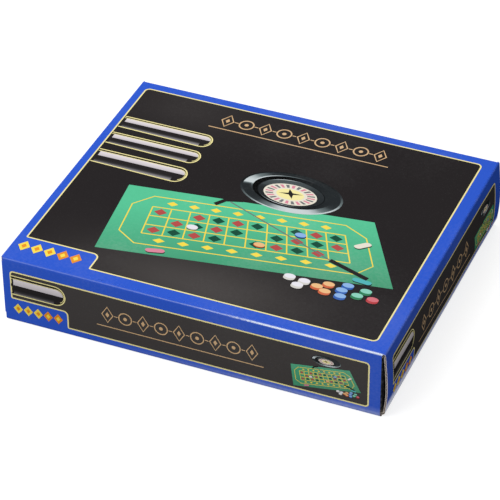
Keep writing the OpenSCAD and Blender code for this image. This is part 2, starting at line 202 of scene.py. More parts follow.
def make_rub_group():
    """Wear along folds: ink rubbed off to pale paper where the mask is high. The highlight input paints a pale
    highlight line in the same colour, broken by grain.
    """
    g, i, o = new_group("fold_rub_and_painted_highlight",
                        [("Colour", "Color", (0.5, 0.5, 0.5, 1)), ("Bare and highlight", "Color", (0.7, 0.78, 0.95, 1)),
                         ("Fold", "Float", 0.0), ("Rub", "Float", 0.0), ("Painted highlight", "Float", 0.0)],
                        [("Colour", "Color"), ("Mask", "Float")])
    at = put(g, "ShaderNodeTexCoord").outputs["Object"]
    patch = noise(g, at, 30.0, 4.0, 0.7)
    grain = noise(g, at, 300.0, 3.0, 0.6)
    worn = sums(g, "ADD", sums(g, "MULTIPLY", patch, 0.55), sums(g, "MULTIPLY", grain, 0.45))
    worn = sums(g, "ADD", worn, sums(g, "MULTIPLY", i["Rub"], 0.32))
    mask = sums(g, "MULTIPLY", ramp(g, worn, 0.56, 0.74), i["Fold"], True)
    # Painted highlight: an even pale line where the highlight input is high.
    painted_line = sums(g, "MULTIPLY", i["Painted highlight"], sums(g, "ADD", sums(g, "MULTIPLY", grain, 1.2), 0.4), True)
    mask = sums(g, "MAXIMUM", mask, painted_line)
    g.links.new(blend_colours(g, mask, i["Colour"], i["Bare and highlight"]), o["Colour"])
    g.links.new(mask, o["Mask"])
    return g


def make_fibre_group():
    """Unprinted board: grey-brown pulp with short fibres and specks."""
    g, i, o = new_group("board_fibre",
                        [("Colour", "Color", (0.5, 0.45, 0.38, 1)), ("Speck", "Float", 0.5),
                         ("Scale", "Float", 1.0)],
                        [("Colour", "Color"), ("Height", "Float")])
    at = put(g, "ShaderNodeTexCoord").outputs["Object"]
    along = put(g, "ShaderNodeMapping", {"Vector": at, "Scale": (260, 900, 900)}).outputs[0]
    fibre = put(g, "ShaderNodeTexNoise", {"Vector": along, "Scale": i["Scale"], "Detail": 4.0}).outputs["Fac"]
    cloud = noise(g, at, 40.0, 3.0)
    speck = ramp(g, noise(g, at, 1500.0, 1.0), 0.66, 0.74)
    tone = sums(g, "ADD", sums(g, "MULTIPLY", fibre, 0.6), sums(g, "MULTIPLY", cloud, 0.4))
    dark = blend_colours(g, ramp(g, tone, 0.62, 0.3), i["Colour"], (0.12, 0.09, 0.06, 1))
    base = blend_colours(g, 0.3, i["Colour"], dark)
    spot = sums(g, "MULTIPLY", speck, i["Speck"])
    g.links.new(blend_colours(g, spot, base, (0.13, 0.1, 0.07, 1)), o["Colour"])
    g.links.new(tone, o["Height"])
    return g


def make_plastic_group():
    """Moulded plastic: a fine skin in level and gloss, with light dust in the low places."""
    g, i, o = new_group("moulded_skin",
                        [("Colour", "Color", (0.1, 0.1, 0.1, 1)), ("Gloss", "Float", 0.3),
                         ("Texture", "Float", 0.5), ("Dust", "Float", 0.1), ("Scale", "Float", 900.0)],
                        [("Colour", "Color"), ("Roughness", "Float"), ("Height", "Float")])
    at = put(g, "ShaderNodeTexCoord").outputs["Object"]
    fine = noise(g, at, i["Scale"], 2.0)
    broad = noise(g, at, 35.0, 3.0)
    dust = sums(g, "MULTIPLY", ramp(g, sums(g, "MULTIPLY", fine, broad), 0.24, 0.4), i["Dust"])
    g.links.new(blend_colours(g, dust, i["Colour"], (0.6, 0.58, 0.55, 1)), o["Colour"])
    gloss = sums(g, "ADD", i["Gloss"], sums(g, "MULTIPLY", sums(g, "SUBTRACT", broad, 0.5), 0.18))
    g.links.new(sums(g, "ADD", gloss, sums(g, "MULTIPLY", dust, 0.6)), o["Roughness"])
    g.links.new(sums(g, "MULTIPLY", fine, i["Texture"]), o["Height"])
    return g


ink_group = make_ink_group()
rub_and_highlight_group = make_rub_group()
fibre_group = make_fibre_group()
plastic_group = make_plastic_group()


def new_material(name, roughness=0.5, coat=0.0, metallic=0.0, specular=0.5):
    material = bpy.data.materials.new(name)
    material.use_nodes = True
    shader = material.node_tree.nodes["Principled BSDF"]
    shader.inputs["Roughness"].default_value = roughness
    shader.inputs["Coat Weight"].default_value = coat
    shader.inputs["Coat Roughness"].default_value = 0.2
    shader.inputs["Metallic"].default_value = metallic
    shader.inputs["Specular IOR Level"].default_value = specular
    return material, material.node_tree, shader


def use(tree, group, values):
    return put(tree, "ShaderNodeGroup", values, node_tree=group).outputs


def bump(tree, shader, height, strength, distance):
    n = put(tree, "ShaderNodeBump", {"Height": height, "Strength": strength, "Distance": distance})
    tree.links.new(n.outputs[0], shader.inputs["Normal"])


def printed_board(name, colour, flutes=(1.0, 0.0, 0.0), highlight_paint=1.0):
    """Printed and varnished outer liner; mesh attributes fold and rub say where it is worn. The third
    attribute gives coat gloss along folds and also paints a pale highlight into the colour there, scaled by
    highlight_paint."""
    material, tree, shader = new_material(name, specular=0.0)
    ink = use(tree, ink_group, {"Colour": colour, "Mottle": 0.1, "Gloss": 0.38, "Dust": 0.1})
    folded = put(tree, "ShaderNodeAttribute", attribute_name="fold").outputs["Fac"]
    rubbed = put(tree, "ShaderNodeAttribute", attribute_name="rub").outputs["Fac"]
    gloss_highlight_mask = put(tree, "ShaderNodeAttribute", attribute_name="crease").outputs["Fac"]
    tree.links.new(gloss_highlight_mask, shader.inputs["Coat Weight"])
    # Painted highlight: the third attribute mixes pale colour into the ink along folds.
    worn = use(tree, rub_and_highlight_group, {"Colour": ink["Colour"], "Bare and highlight": (0.8, 0.87, 1, 1), "Fold": folded,
                                 "Rub": rubbed, "Painted highlight": sums(tree, "MULTIPLY", gloss_highlight_mask, highlight_paint)})
    tree.links.new(worn["Colour"], shader.inputs["Base Color"])
    tree.links.new(ink["Roughness"], shader.inputs["Roughness"])
    at = put(tree, "ShaderNodeTexCoord").outputs["Object"]
    across = put(tree, "ShaderNodeVectorMath", {0: at, 1: tuple(f * 2 * math.pi / 0.0032 for f in flutes)},
                 operation="DOT_PRODUCT").outputs["Value"]
    wave = sums(tree, "MULTIPLY", put(tree, "ShaderNodeMath", {0: across}, operation="SINE").outputs[0], 0.35)
    bump(tree, shader, sums(tree, "ADD", wave, ink["Height"]), 0.25, 0.00015)
    return material


def inked(parts, colour, mottle, gloss, dust):
    material, tree, shader = parts
    ink = use(tree, ink_group, {"Colour": colour, "Mottle": mottle, "Gloss": gloss, "Dust": dust})
    tree.links.new(ink["Colour"], shader.inputs["Base Color"])
    tree.links.new(ink["Roughness"], shader.inputs["Roughness"])
    bump(tree, shader, ink["Height"], 0.2, 0.00012)
    return material


def flat_ink(name, colour, mottle, gloss=0.36):
    return inked(new_material(name, specular=0.0), srgb(*colour), mottle, gloss, 0.12)


def toned_ink(name, stops, mottle=0.06, gloss=0.34):
    """Ink whose colour follows the mesh attribute tone, from 0 to 1."""
    parts = new_material(name, specular=0.0)
    tree = parts[1]
    tone = put(tree, "ShaderNodeAttribute", attribute_name="tone").outputs["Fac"]
    colours = tree.nodes.new("ShaderNodeValToRGB")
    marks = colours.color_ramp.elements
    for mark, (place, colour) in zip((marks[0], marks[1]), (stops[0], stops[-1])):
        mark.position, mark.color = place, srgb(*colour)
    for place, colour in stops[1:-1]:
        marks.new(place).color = srgb(*colour)
    tree.links.new(tone, colours.inputs[0])
    return inked(parts, colours.outputs[0], mottle, gloss, 0.1)


def raw_board(name, colour, speck=0.5, scale=1.0):
    material, tree, shader = new_material(name, roughness=0.85, specular=0.25)
    fibre = use(tree, fibre_group, {"Colour": colour, "Speck": speck, "Scale": scale})
    tree.links.new(fibre["Colour"], shader.inputs["Base Color"])
    bump(tree, shader, fibre["Height"], 0.35, 0.0002)
    return material


def plastic(name, colour, gloss, texture, dust, scale, coat=0.0, metallic=0.0, relief=0.12):
    material, tree, shader = new_material(name, coat=coat, metallic=metallic)
    skin = use(tree, plastic_group, {"Colour": colour, "Gloss": gloss, "Texture": texture, "Dust": dust,
                                      "Scale": scale})
    tree.links.new(skin["Colour"], shader.inputs["Base Color"])
    tree.links.new(skin["Roughness"], shader.inputs["Roughness"])
    bump(tree, shader, skin["Height"], relief, 0.0002)
    return material


blue = srgb(51, 93, 209)
blue_print = printed_board("blue_print", blue)
# The ends paint the highlight into their colour at less than half strength.
blue_print_end = printed_board("blue_print_end", blue, (0, 0, 1), 0.45)
# A darker black on the dust flaps, put there to paint the shade in the slot beside each end.
slot_shade_black_print = printed_board("slot_shade_black_print", srgb(30, 28, 30), (0, 0, 1))
liner = raw_board("inner_liner", srgb(196, 190, 178))
# Painted shade: the hollow between the liners on a cut edge is darkened for the shade inside the flutes.
flute_shade = raw_board("flute_hollow_painted_shade", srgb(124, 104, 90))
flute_paper = raw_board("flute_paper", srgb(216, 200, 186), 0.6)
edge_paper = raw_board("liner_edge", srgb(242, 232, 224), 0.3)

# The last ten are the counters in the printed picture, five sides and then five faces: blue, orange, green,
# white, red
inks = [
    # The light end of this black's tone is painted sheen, used on the black panels of the top, walls and ends.
    toned_ink("black_ink_and_painted_sheen", [(0.0, (42, 39, 40)), (1.0, (98, 94, 92))], 0.025, 0.42),
    toned_ink("pill_gloss_ink", [(0.0, (30, 28, 30)), (0.3, (60, 58, 60)), (0.6, (150, 146, 150)),
                                 (1.0, (232, 224, 228))]),
    toned_ink("green_cloth_ink", [(0.0, (66, 138, 104)), (1.0, (92, 200, 154))], 0.2),
    toned_ink("bowl_shine_ink", [(0.0, (12, 13, 14)), (0.5, (52, 57, 60)), (0.8, (112, 124, 126)),
                                 (1.0, (205, 214, 216))]),
    flat_ink("gold_ink", (250, 238, 168), 0.1, 0.34), flat_ink("peach_gold_ink", (216, 180, 136), 0.12, 0.34)]
inks += [flat_ink(name, colour, mottle) for name, colour, mottle in (
    ("red_ink", (184, 82, 78), 0.08), ("deep_green_ink", (32, 82, 64), 0.08),
    ("orange_ink", (236, 148, 36), 0.15), ("yellow_ink", (252, 224, 82), 0.15),
    ("cream_ink", (236, 230, 214), 0.15), ("grey_ink", (118, 120, 122), 0.2),
    ("turquoise_ink", (84, 182, 186), 0.15), ("pink_ink", (222, 140, 160), 0.15),
    ("chip_blue_ink", (36, 92, 178), 0.2), ("chip_orange_ink", (206, 92, 44), 0.2),
    ("chip_green_ink", (36, 128, 84), 0.2), ("chip_white_ink", (214, 212, 206), 0.2),
    ("chip_red_ink", (184, 44, 52), 0.2), ("disc_blue_face_ink", (142, 182, 232), 0.15),
    ("disc_orange_face_ink", (240, 190, 134), 0.15), ("disc_green_face_ink", (140, 212, 190), 0.15),
    ("disc_white_face_ink", (236, 234, 242), 0.15), ("disc_red_face_ink", (216, 112, 122), 0.15))]
(BLACK, PILL, FELT, BOWL, GOLD, PEACH, RED, DEEP_GREEN, ORANGE, YELLOW, CREAM, GREY, TURQUOISE,
 PINK) = range(14)
DISC_SIDES, DISC_FACES = 14, 19


# Mesh tools: flat outlines are cut into cells, then laid on a curved face

def cut_outline(loop, cuts):
    """Fills an outline and cuts it along (axis, value) lines. Gives points, faces and the rim in order."""
    bm = bmesh.new()
    face = bm.faces.new([bm.verts.new((u, v, 0)) for u, v in loop])
    bm.normal_update()
    if face.normal.z < 0:
        face.normal_flip()
    bmesh.ops.triangulate(bm, faces=[face])
    for axis, value in cuts:
        normal = (1, 0, 0) if axis == "u" else (0, 1, 0)
        point = (value, 0, 0) if axis == "u" else (0, value, 0)
        bmesh.ops.bisect_plane(bm, geom=bm.verts[:] + bm.edges[:] + bm.faces[:], dist=1e-5,
                               plane_co=point, plane_no=normal)
    bm.verts.index_update()
    points = [(v.co.x, v.co.y) for v in bm.verts]
    faces = [[v.index for v in f.verts] for f in bm.faces]
    after = {}
    for f in bm.faces:
        for k in f.loops:
            if k.edge.is_boundary:
                after[k.vert.index] = k.link_loop_next.vert.index
    rim = [next(iter(after))]
    while after[rim[-1]] != rim[0]:
        rim.append(after[rim[-1]])
    bm.free()
    return points, faces, rim


def steps(start, end, size):
    n = max(1, round(abs(end - start) / size))
    return [start + (end - start) * k / n for k in range(1, n)]


class Piece:
    """Collects points, faces and their materials in millimetres, then makes one object."""

    def __init__(self, name, materials):
        self.name, self.materials = name, materials
        self.points, self.faces, self.looks = [], [], []
        self.values = {}

    def add(self, points, faces, look=0, **values):
        start = len(self.points)
        self.points += [tuple(p) for p in points]
        self.faces += [[start + k for k in f] for f in faces]
        self.looks += [look] * len(faces)
        for key, list_ in values.items():
            self.values.setdefault(key, {}).update({start + k: v for k, v in enumerate(list_)})
        return start

    def make(self, sharp=35.0):
        mesh = bpy.data.meshes.new(self.name)
        mesh.from_pydata([(x * mm, y * mm, z * mm) for x, y, z in self.points], [], self.faces)
        for m in self.materials:
            mesh.materials.append(m)
        mesh.polygons.foreach_set("material_index", self.looks)
        for key, values in self.values.items():
            attribute = mesh.attributes.new(key, "FLOAT", "POINT")
            attribute.data.foreach_set("value", [float(values.get(k, 0.0)) for k in range(len(self.points))])
        mesh.validate()
        mesh.shade_smooth()
        mesh.set_sharp_from_angle(angle=math.radians(sharp))
        obj = bpy.data.objects.new(self.name, mesh)
        bpy.context.scene.collection.objects.link(obj)
        return obj


def turned(a, b):
    return (a[0] * math.cos(b) - a[1] * math.sin(b), a[0] * math.sin(b) + a[1] * math.cos(b))


class Path:
    """A folded section line: straight runs and bends, with the board's thickness to one side."""

    def __init__(self, start, heading):
        self.at, self.heading, self.runs, self.length = start, heading, [], 0.0
        self.bends = []

    def run(self, length):
        self.runs.append((self.length, length, self.at, self.heading, 0.0))
        self.at = (self.at[0] + length * math.cos(self.heading), self.at[1] + length * math.sin(self.heading))
        self.length += length
        return self

    def bend(self, radius, angle):
        """angle > 0 turns left, and the centre is on the left."""
        length = radius * abs(angle)
        self.runs.append((self.length, length, self.at, self.heading, angle))
        side = 1 if angle > 0 else -1
        n = (-math.sin(self.heading) * side, math.cos(self.heading) * side)
        centre = (self.at[0] + n[0] * radius, self.at[1] + n[1] * radius)
        arm = turned((-n[0] * radius, -n[1] * radius), angle)
        self.bends.append((self.length, self.length + length))
        self.at = (centre[0] + arm[0], centre[1] + arm[1])
        self.heading += angle
        self.length += length
        return self

    def point(self, s):
        """Place and left-hand normal at length s."""
        for start, length, at, heading, angle in self.runs:
            if s <= start + length + 1e-9 or (start, length) == self.runs[-1][:2]:
                d = s - start
                if angle == 0:
                    return ((at[0] + d * math.cos(heading), at[1] + d * math.sin(heading)),
                            (-math.sin(heading), math.cos(heading)))
                radius = length / abs(angle)
                side = 1 if angle > 0 else -1
                n = (-math.sin(heading) * side, math.cos(heading) * side)
                part = angle * d / length
                arm = turned((-n[0] * radius, -n[1] * radius), part)
                centre = (at[0] + n[0] * radius, at[1] + n[1] * radius)
                h = heading + part
                return ((centre[0] + arm[0], centre[1] + arm[1]), (-math.sin(h), math.cos(h)))

    def cuts(self, axis, count, bends=slice(None)):
        """Lines that cut each bend, or some of them, into count strips."""
        return [(axis, a + (b - a) * k / count) for a, b in self.bends[bends] for k in range(count + 1)]


def inset(rim_points, depth):
    """Points of the rim moved inwards by depth, by the mitre of their two sides."""
    out = []
    n = len(rim_points)
    for k in range(n):
        a, b, c = rim_points[k - 1], rim_points[k], rim_points[(k + 1) % n]
        d1 = Vector((b[0] - a[0], b[1] - a[1])).normalized()
        d2 = Vector((c[0] - b[0], c[1] - b[1])).normalized()
        n1, n2 = Vector((-d1.y, d1.x)), Vector((-d2.y, d2.x))
        m = n1 + n2
        if m.length < 1e-6:
            m = n1
        m = m.normalized()
        out.append((b[0] + m.x * depth / max(0.3, m.dot(n1)), b[1] + m.y * depth / max(0.3, m.dot(n1))))
    return out


lip = 0.32
hollow = 0.9
pitch = 3.2


def lay_board(piece, loop, place, cuts, raw, shade, wave=None):
    """Corrugated board from a flat outline: outer print, inner liner, and cut edges with their flutes.
    place(u, v, w) gives the point at depth w below the print. raw(u, v) says where the rim is a cut edge,
    wave(u, v) where the flutes end on it. Looks: 0 print, 1 liner, 2 hollow, darkened as painted shade, 3
    flute paper, 4 liner edge."""
    flat, faces, rim = cut_outline(loop, cuts)
    worn = [shade(u, v) for u, v in flat]
    values = {key: [w[k] for w in worn] for k, key in enumerate(("fold", "rub", "crease"))}
    outer = piece.add([place(u, v, 0.0) for u, v in flat], faces, 0, **values)
    inner = piece.add([place(u, v, board) for u, v in flat], [f[::-1] for f in faces], 1)
    edge_flat = [flat[k] for k in rim]
    deep = inset(edge_flat, hollow)
    n = len(rim)
    rings = [piece.add([place(*edge_flat[k], lip) for k in range(n)], []),
             piece.add([place(*deep[k], lip) for k in range(n)], []),
             piece.add([place(*deep[k], board - lip) for k in range(n)], []),
             piece.add([place(*edge_flat[k], board - lip) for k in range(n)], [])]
    for k in range(n):
        j = (k + 1) % n
        middle = ((edge_flat[k][0] + edge_flat[j][0]) / 2, (edge_flat[k][1] + edge_flat[j][1]) / 2)
        if not raw(*middle):
            continue
        chain = [(outer + rim[k], outer + rim[j])] + [(r + k, r + j) for r in rings] \
            + [(inner + rim[k], inner + rim[j])]
        for (a, b), (c, d), look in zip(chain, chain[1:], (4, 2, 2, 2, 4)):
            piece.faces.append([b, a, c, d])
            piece.looks.append(look)
    if wave:
        lay_flutes(piece, edge_flat, deep, place, wave)


def lay_flutes(piece, rim, deep, place, wave):
    """The wavy middle paper where flutes end on a cut edge, as a thin ribbon between the two liners."""
    n = len(rim)
    along = 0.0
    strip = []
    for k in range(n):
        j = (k + 1) % n
        a, b, da, db = rim[k], rim[j], deep[k], deep[j]
        length = math.hypot(b[0] - a[0], b[1] - a[1])
        middle = ((a[0] + b[0]) / 2, (a[1] + b[1]) / 2)
        if not wave(*middle):
            if len(strip) > 1:
                ribbon(piece, strip)
            strip = []
            along += length
            continue
        count = max(1, round(length / (pitch / 10)))
        for m in range(count + (1 if j == 0 else 0)):
            t = m / count
            s = along + length * t
            w = board / 2 + (board / 2 - lip - 0.08) * math.sin(2 * math.pi * s / pitch)
            p = (a[0] + (b[0] - a[0]) * t, a[1] + (b[1] - a[1]) * t)
            q = (da[0] + (db[0] - da[0]) * t, da[1] + (db[1] - da[1]) * t)
            p = (p[0] + (q[0] - p[0]) * 0.12, p[1] + (q[1] - p[1]) * 0.12)
            strip.append([place(*p, w - 0.09), place(*p, w + 0.09), place(*q, w + 0.09), place(*q, w - 0.09)])
        along += length
    if len(strip) > 1:
        ribbon(piece, strip)


def ribbon(piece, strip):
    points = [p for ring in strip for p in ring]
    faces = []
    for k in range(len(strip) - 1):
        a, b = 4 * k, 4 * k + 4
        faces += [[a, a + 1, b + 1, b], [a + 1, a + 2, b + 2, b + 1], [a + 3, a, b, b + 3]]
    piece.add(points, faces, 3)


board_looks, end_looks, slot_shade_looks = ([outer, liner, flute_shade, flute_paper, edge_paper]
                                      for outer in (blue_print, blue_print_end, slot_shade_black_print))


def settle(obj, body, slot, *replaced):
    """Puts a finished piece on its body, in the place of the nodes that it stands for."""
    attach(obj, body)
    if replaced:
        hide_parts(*replaced)


# The sleeve: glue tab, bottom, front, top and back in one folded blank

quarter = math.pi / 2
sleeve_path = (Path((half_depth - board, 29.6), -quarter).run(27.6).bend(fold, -quarter)
               .run(2 * half_depth - board - 2 * fold).bend(fold, -quarter)
               .run(height - 2 * fold).bend(fold, -quarter)
               .run(2 * half_depth - 2 * fold).bend(fold, -quarter)
               .run(height - fold - 0.5))
(tab_end, bottom_start), (bottom_end, front_start), (front_end, top_start), (top_end, back_start) = \
    sleeve_path.bends
sleeve_length = sleeve_path.length


def hump(t):
    return math.sin(math.pi * min(max(t, 0.0), 1.0))


def swell(x, s):
    """How far the faces stand out between the folds."""
    across = math.cos(math.pi * x / 2 / 176)
    if front_start < s < front_end:
        return 0.45 * hump((s - front_start) / (front_end - front_start)) * across
    if top_start < s < top_end:
        return 0.5 * hump((s - top_start) / (top_end - top_start)) * across
    if back_start < s:
        return 0.4 * hump((s - back_start) / (sleeve_length - back_start)) * across
    return 0.0


def sleeve_place(x, s, w):
    (y, z), (ny, nz) = sleeve_path.point(s)
    d = -w + swell(x, s)
    return (x, y + ny * d, z + nz * d)


def on_top(x, y, h):
    return sleeve_place(x, top_start + (y + half_depth - fold), -h)


def on_front(x, z, h):
    return sleeve_place(x, front_start + (z - fold), -h)


def on_back(u, z, h):
    return sleeve_place(-u, back_start + (height - fold - z), -h)


def sleeve_shade(x, s):
    """Fold wear, strongest on the front upper fold right of the middle; a painted highlight line along that
    fold, whiter towards the right; and a painted sheen on the lower front fold.
    """
    worn = 0.0
    for a, b, weight, wide in ((front_end, top_start, 1.0, 1.0), (bottom_end, front_start, 0.1, 1.5),
                               (top_end, back_start, 0.6, 1.5)):
        worn = max(worn, weight * min(1.0, 2.2 * max(0.0, 1 - abs(s - (a + b) / 2 + 0.3) / wide)))
    rub = 0.0
    if front_end - 4 < s < top_start + 4:
        rub = -0.4 + 1.7 * min(1.0, max(0.0, (x - 5) / 85)) * min(1.0, max(0.35, (172 - x) / 14))
        rub += 1.2 * max(0.0, 1 - abs(x - 166) / 2.5)
    # Painted highlight: a thin pale line along the front upper fold, stronger towards the right.
    near = abs(s - (front_end + top_start) / 2 + 0.3)
    far = min(1.0, max(0.0, (x + 90) / 230))
    crease = (0.22 + 0.8 * far ** 1.5) * max(0.0, min(1.0, 1.3 - near / (0.32 + 0.06 * far)))
    # Painted sheen: a pale band on the lower front fold, stronger towards the right.
    low = 0.26 * far * max(0.0, min(1.0, 1.8 - abs(s - front_start - 0.8) / 1.6))
    return worn, rub, max(crease, low)


def make_sleeve():
    piece = Piece("carton_sleeve", board_looks)

    def side(wall):
        brow = max(wall, wall_end + 0.8)
        return [(155.7, 0.0), (161.0, tab_end - 0.4), (163.5, tab_end), (tube_end, bottom_start),
                (tube_end, bottom_end), (wall, front_start), (wall, front_end), (brow, front_end + 0.9),
                (lid_end, top_start), (lid_end, top_end), (brow, top_end + 2.2), (wall, back_start),
                (wall, sleeve_length)]
    loop = side(wall_end) + [(-x, s) for x, s in reversed(side(left_wall))]
    cuts = sleeve_path.cuts("v", 6)
    cuts += [("u", x) for x in steps(-lid_end, lid_end, 17)]
    cuts += [("v", s) for s in steps(top_start, top_end, 22) + steps(front_start, front_end, 8)
             + steps(back_start, sleeve_length, 10) + steps(bottom_start, bottom_end, 60)]
    for start, end in ((front_end, top_start), (top_end, back_start), (bottom_end, front_start)):
        cuts += [("v", start - 1.2), ("v", end + 1.2), ("v", start - 3), ("v", end + 3)]

    def cut_edge(x, s):
        if top_start - 0.2 < s < top_end + 0.2 and abs(x) > lid_end - 0.5:
            return False
        if front_start + 5.9 < s < front_end - 1.8 and abs(x) > wall_end - 0.5:
            return False
        if back_start + 1.8 < s < sleeve_length - 7.4 and abs(x) > wall_end - 0.5:
            return False
        return True

    lay_board(piece, loop, sleeve_place, cuts, cut_edge, sleeve_shade)
    settle(piece.make(), "carton", "printed_board",
           "bottom_panel", "front_panel", "top_panel", "back_panel", "glue_tab")


# The ends: one blank from the lid's fold down to the tuck flap's tip

end_depths = {1: half_depth - 0.3, -1: half_depth - 2.6}
roll = 3.0
end_path = (Path((lid_end, height), 0.0).bend(fold, -quarter).run(57.84)
            .bend(roll, -(quarter + flap_tilt)).run(24.2))
(_, panel_start), (panel_end, tuck_start) = end_path.bends
tuck_end = end_path.length


def end_bow(side, y, s):
    """The right panel springs out, most at its free edges; the left one is pressed home. Both ripple."""
    t = (s - panel_start) / (tuck_start - panel_start)
    if not 0 < t < 1:
        return 0.0
    edge = max(0.0, (abs(y) - 90) / 53) ** 2
    size = 1.45 + 0.8 * edge if side > 0 else 0.8 - 0.75 * min(1.0, edge)
    size += (0.16 * math.sin(y / 19 + 1.0) + 0.1 * math.sin(y / 8.3)) * (1.0 if side > 0 else 0.5)
    return size * math.sin(math.pi * t ** 1.15)


def end_place(side):
    def place(y, s, w):
        (x, z), (nx, nz) = end_path.point(s)
        d = -w + end_bow(side, y, s)
        return (side * (x + nx * d), y, z + nz * d)
    return place


def on_end(side):
    """Print coordinates of an end, u from the left as one looks at it."""
    place = end_place(side)

    def on(u, z, h):
        return place(u * side, panel_start + (height - fold - z), -h)
    return on


def end_shade(y, s):
    worn = max(0.0, 1 - abs(s - panel_start / 2) / 1.4) * 0.12
    low = max(0.0, 1 - abs(s - (panel_end + tuck_start) / 2) / 3.5) * 0.55
    rub = 0.25 + 0.5 * max(0.0, (-y - 60) / 83)
    # Painted sheen: a pale band on the lower panel near the roll, wider and stronger towards the front; the
    # same mask sets the coat gloss there.
    front = min(1.0, max(0.0, (70 - y) / 210))
    gloss_and_painted_sheen = max(0.0, 1 - max(0.0, panel_end - 2.5 - 2 * front - s) / (1.5 + 4.5 * front))
    return max(worn, low), rub, gloss_and_painted_sheen * (0.35 + 0.6 * front) if s < tuck_start else 0.0


def make_end(side, name):
    place = end_place(side)
    end_depth = end_depths[side]
    tuck = name.replace("_end", "_tuck")

    def part(label, u, s0, s1, cuts, raw, wave=None, loop=None):
        piece = Piece(name + "_" + label, end_looks)
        loop = loop or [(-u, s0), (u, s0), (u, s1), (-u, s1)]
        lay_board(piece, loop, place, cuts, raw, end_shade, wave)
        if side > 0:
            piece.faces = [f[::-1] for f in piece.faces]
        return piece.make()

    columns = [("u", y) for y in steps(-end_depth, end_depth, 5.5)]
    brow = half_depth - 0.3

    def ends(y, s):
        return abs(y) > end_depth - 0.01
    hinge_fold = part("lid_fold", 0, 0, 0, columns + end_path.cuts("v", 8, slice(0, 1)),
                      lambda y, s: ends(y, s) and 0.01 < s < panel_start - 0.01,
                      loop=[(-brow, 0.0), (brow, 0.0), (end_depth, panel_start), (-end_depth, panel_start)])
    panel = part("end_board", end_depth, panel_start, panel_end,
                 columns + [("v", s) for s in steps(panel_start, panel_end, 2.2)], ends, ends)
    roll_fold = part("tuck_fold", end_depth - 0.9, panel_end, tuck_start,
                     columns + end_path.cuts("v", 10, slice(1, 2)), lambda y, s: abs(y) > end_depth - 1.2)
    wide, round_ = end_depth - 3.7, 12.0
    tip = ([(-wide, tuck_start), (wide, tuck_start)]
           + arc(wide - round_, tuck_end - round_, round_, 0, quarter, 8)
           + arc(round_ - wide, tuck_end - round_, round_, quarter, 2 * quarter, 8))
    flap = part("tuck_board", wide, 0, 0, [("u", y) for y in steps(-wide, wide, 40)],
                lambda y, s: s > tuck_start + 0.01,
                lambda y, s: s > tuck_start + 0.01 and abs(y) > wide - 9, tip)
    settle(panel, name, "printed_board", name + "_panel")
    settle(flap, tuck, "printed_board", tuck + "_flap")
    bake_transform(hinge_fold)
    high, low = place(0, panel_end, 0), place(0, tuck_start, 0)
    [c * mm for c in high]
    [c * mm for c in low]
    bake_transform(roll_fold)


# Dust flaps, folded in behind the ends

dust_low, dust_top, dust_reach = 7.5, 61.4, 44.1


def dust_section(side):
    """A dust flap's fold from the wall's end on: one plain bend, or pressed flat at the left end."""
    if side > 0:
        return Path((wall_end, -half_depth), 0.0).bend(tube_end - wall_end, quarter)
    return Path((left_wall, -half_depth), 0.0).bend(1.2, quarter * 1.5).run(1.345).bend(1.7, -quarter / 2)


def make_dust_flap(side, depth, name):
    """depth is 1 for the back flap and -1 for the front one."""
    path = dust_section(side)
    wall, root, dust_start = path.runs[0][2], path.at, path.length
    inward = root[1] + half_depth + wall_end - tube_end
    path.run(dust_reach - inward)

    def place(s, z, w):
        (x, y), (nx, ny) = path.point(s)
        return (side * (x + nx * w), -depth * (y + ny * w), z)

    def upper(d):
        return dust_top - d * math.tan(math.radians(25))

    def lower(d):
        return dust_low + d * math.tan(math.radians(3))

    far = path.length
    loop = [(dust_start, lower(inward)), (far - 6, lower(dust_reach - 6)), (far, lower(dust_reach) + 6),
            (far, upper(dust_reach) - 6), (far - 6, upper(dust_reach - 6)), (dust_start, upper(inward))]
    strip = [(0.0, lower(0)), (dust_start, lower(inward)), (dust_start, upper(inward)), (0.0, upper(0))]
    mirrored = side * depth > 0
    made = []
    for label, shape, cuts, raw in (
            ("fold", strip, path.cuts("u", 6), lambda s, z: 0.01 < s < dust_start - 0.01),
            ("board", loop, [("u", s) for s in steps(dust_start, far, 15)],
             lambda s, z: s > dust_start + 0.01)):
        # The flap boards, and the right-hand folds, take the darker black as painted shade for the slot.
        piece = Piece(name + "_" + label, board_looks if side < 0 and label == "fold" else slot_shade_looks)
        lay_board(piece, shape, place, cuts, raw,
                  lambda s, z: (0.15 * max(0.0, 1 - abs(s - 1.3) / 3), 0.3, 0.0),
                  (lambda s, z: dust_start + 0.01 < s < far - 0.5) if label == "board" else None)
        if mirrored:
            piece.faces = [f[::-1] for f in piece.faces]
        made.append(piece.make())
    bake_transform(made[0])
    settle(made[1], name, "printed_board", name + "_flap")


# Print: flat shapes laid on a face, one thin lift above the other


def arc(cx, cy, r, a0, a1, n=7):
    return [(cx + r * math.cos(a0 + (a1 - a0) * k / n), cy + r * math.sin(a0 + (a1 - a0) * k / n))
            for k in range(n + 1)]


def rounded(u0, v0, u1, v1, r):
    return (arc(u1 - r, v0 + r, r, -quarter, 0) + arc(u1 - r, v1 - r, r, 0, quarter)
            + arc(u0 + r, v1 - r, r, quarter, 2 * quarter) + arc(u0 + r, v0 + r, r, 2 * quarter, 3 * quarter))


def notched(u0, v0, u1, v1, r, nu, nv, rn, d=0.0):
    """A panel with its lower left corner stepped in, made smaller all round by d: three wide corners
    of radius r, two tight ones beside the step, and the step's own radius rn."""
    u0, v0, u1, v1, nu, nv = u0 + d, v0 + d, u1 - d, v1 - d, nu + d, nv + d
    tight = max(0.3, 1.6 - d)
    r, rn = r - d, rn + d
    return (arc(nu + tight, v0 + tight, tight, 2 * quarter, 3 * quarter)
            + arc(u1 - r, v0 + r, r, -quarter, 0) + arc(u1 - r, v1 - r, r, 0, quarter)
            + arc(u0 + r, v1 - r, r, quarter, 2 * quarter)
            + arc(u0 + tight, nv + tight, tight, 2 * quarter, 3 * quarter)
            + arc(nu - rn, nv - rn, rn, quarter, 0))


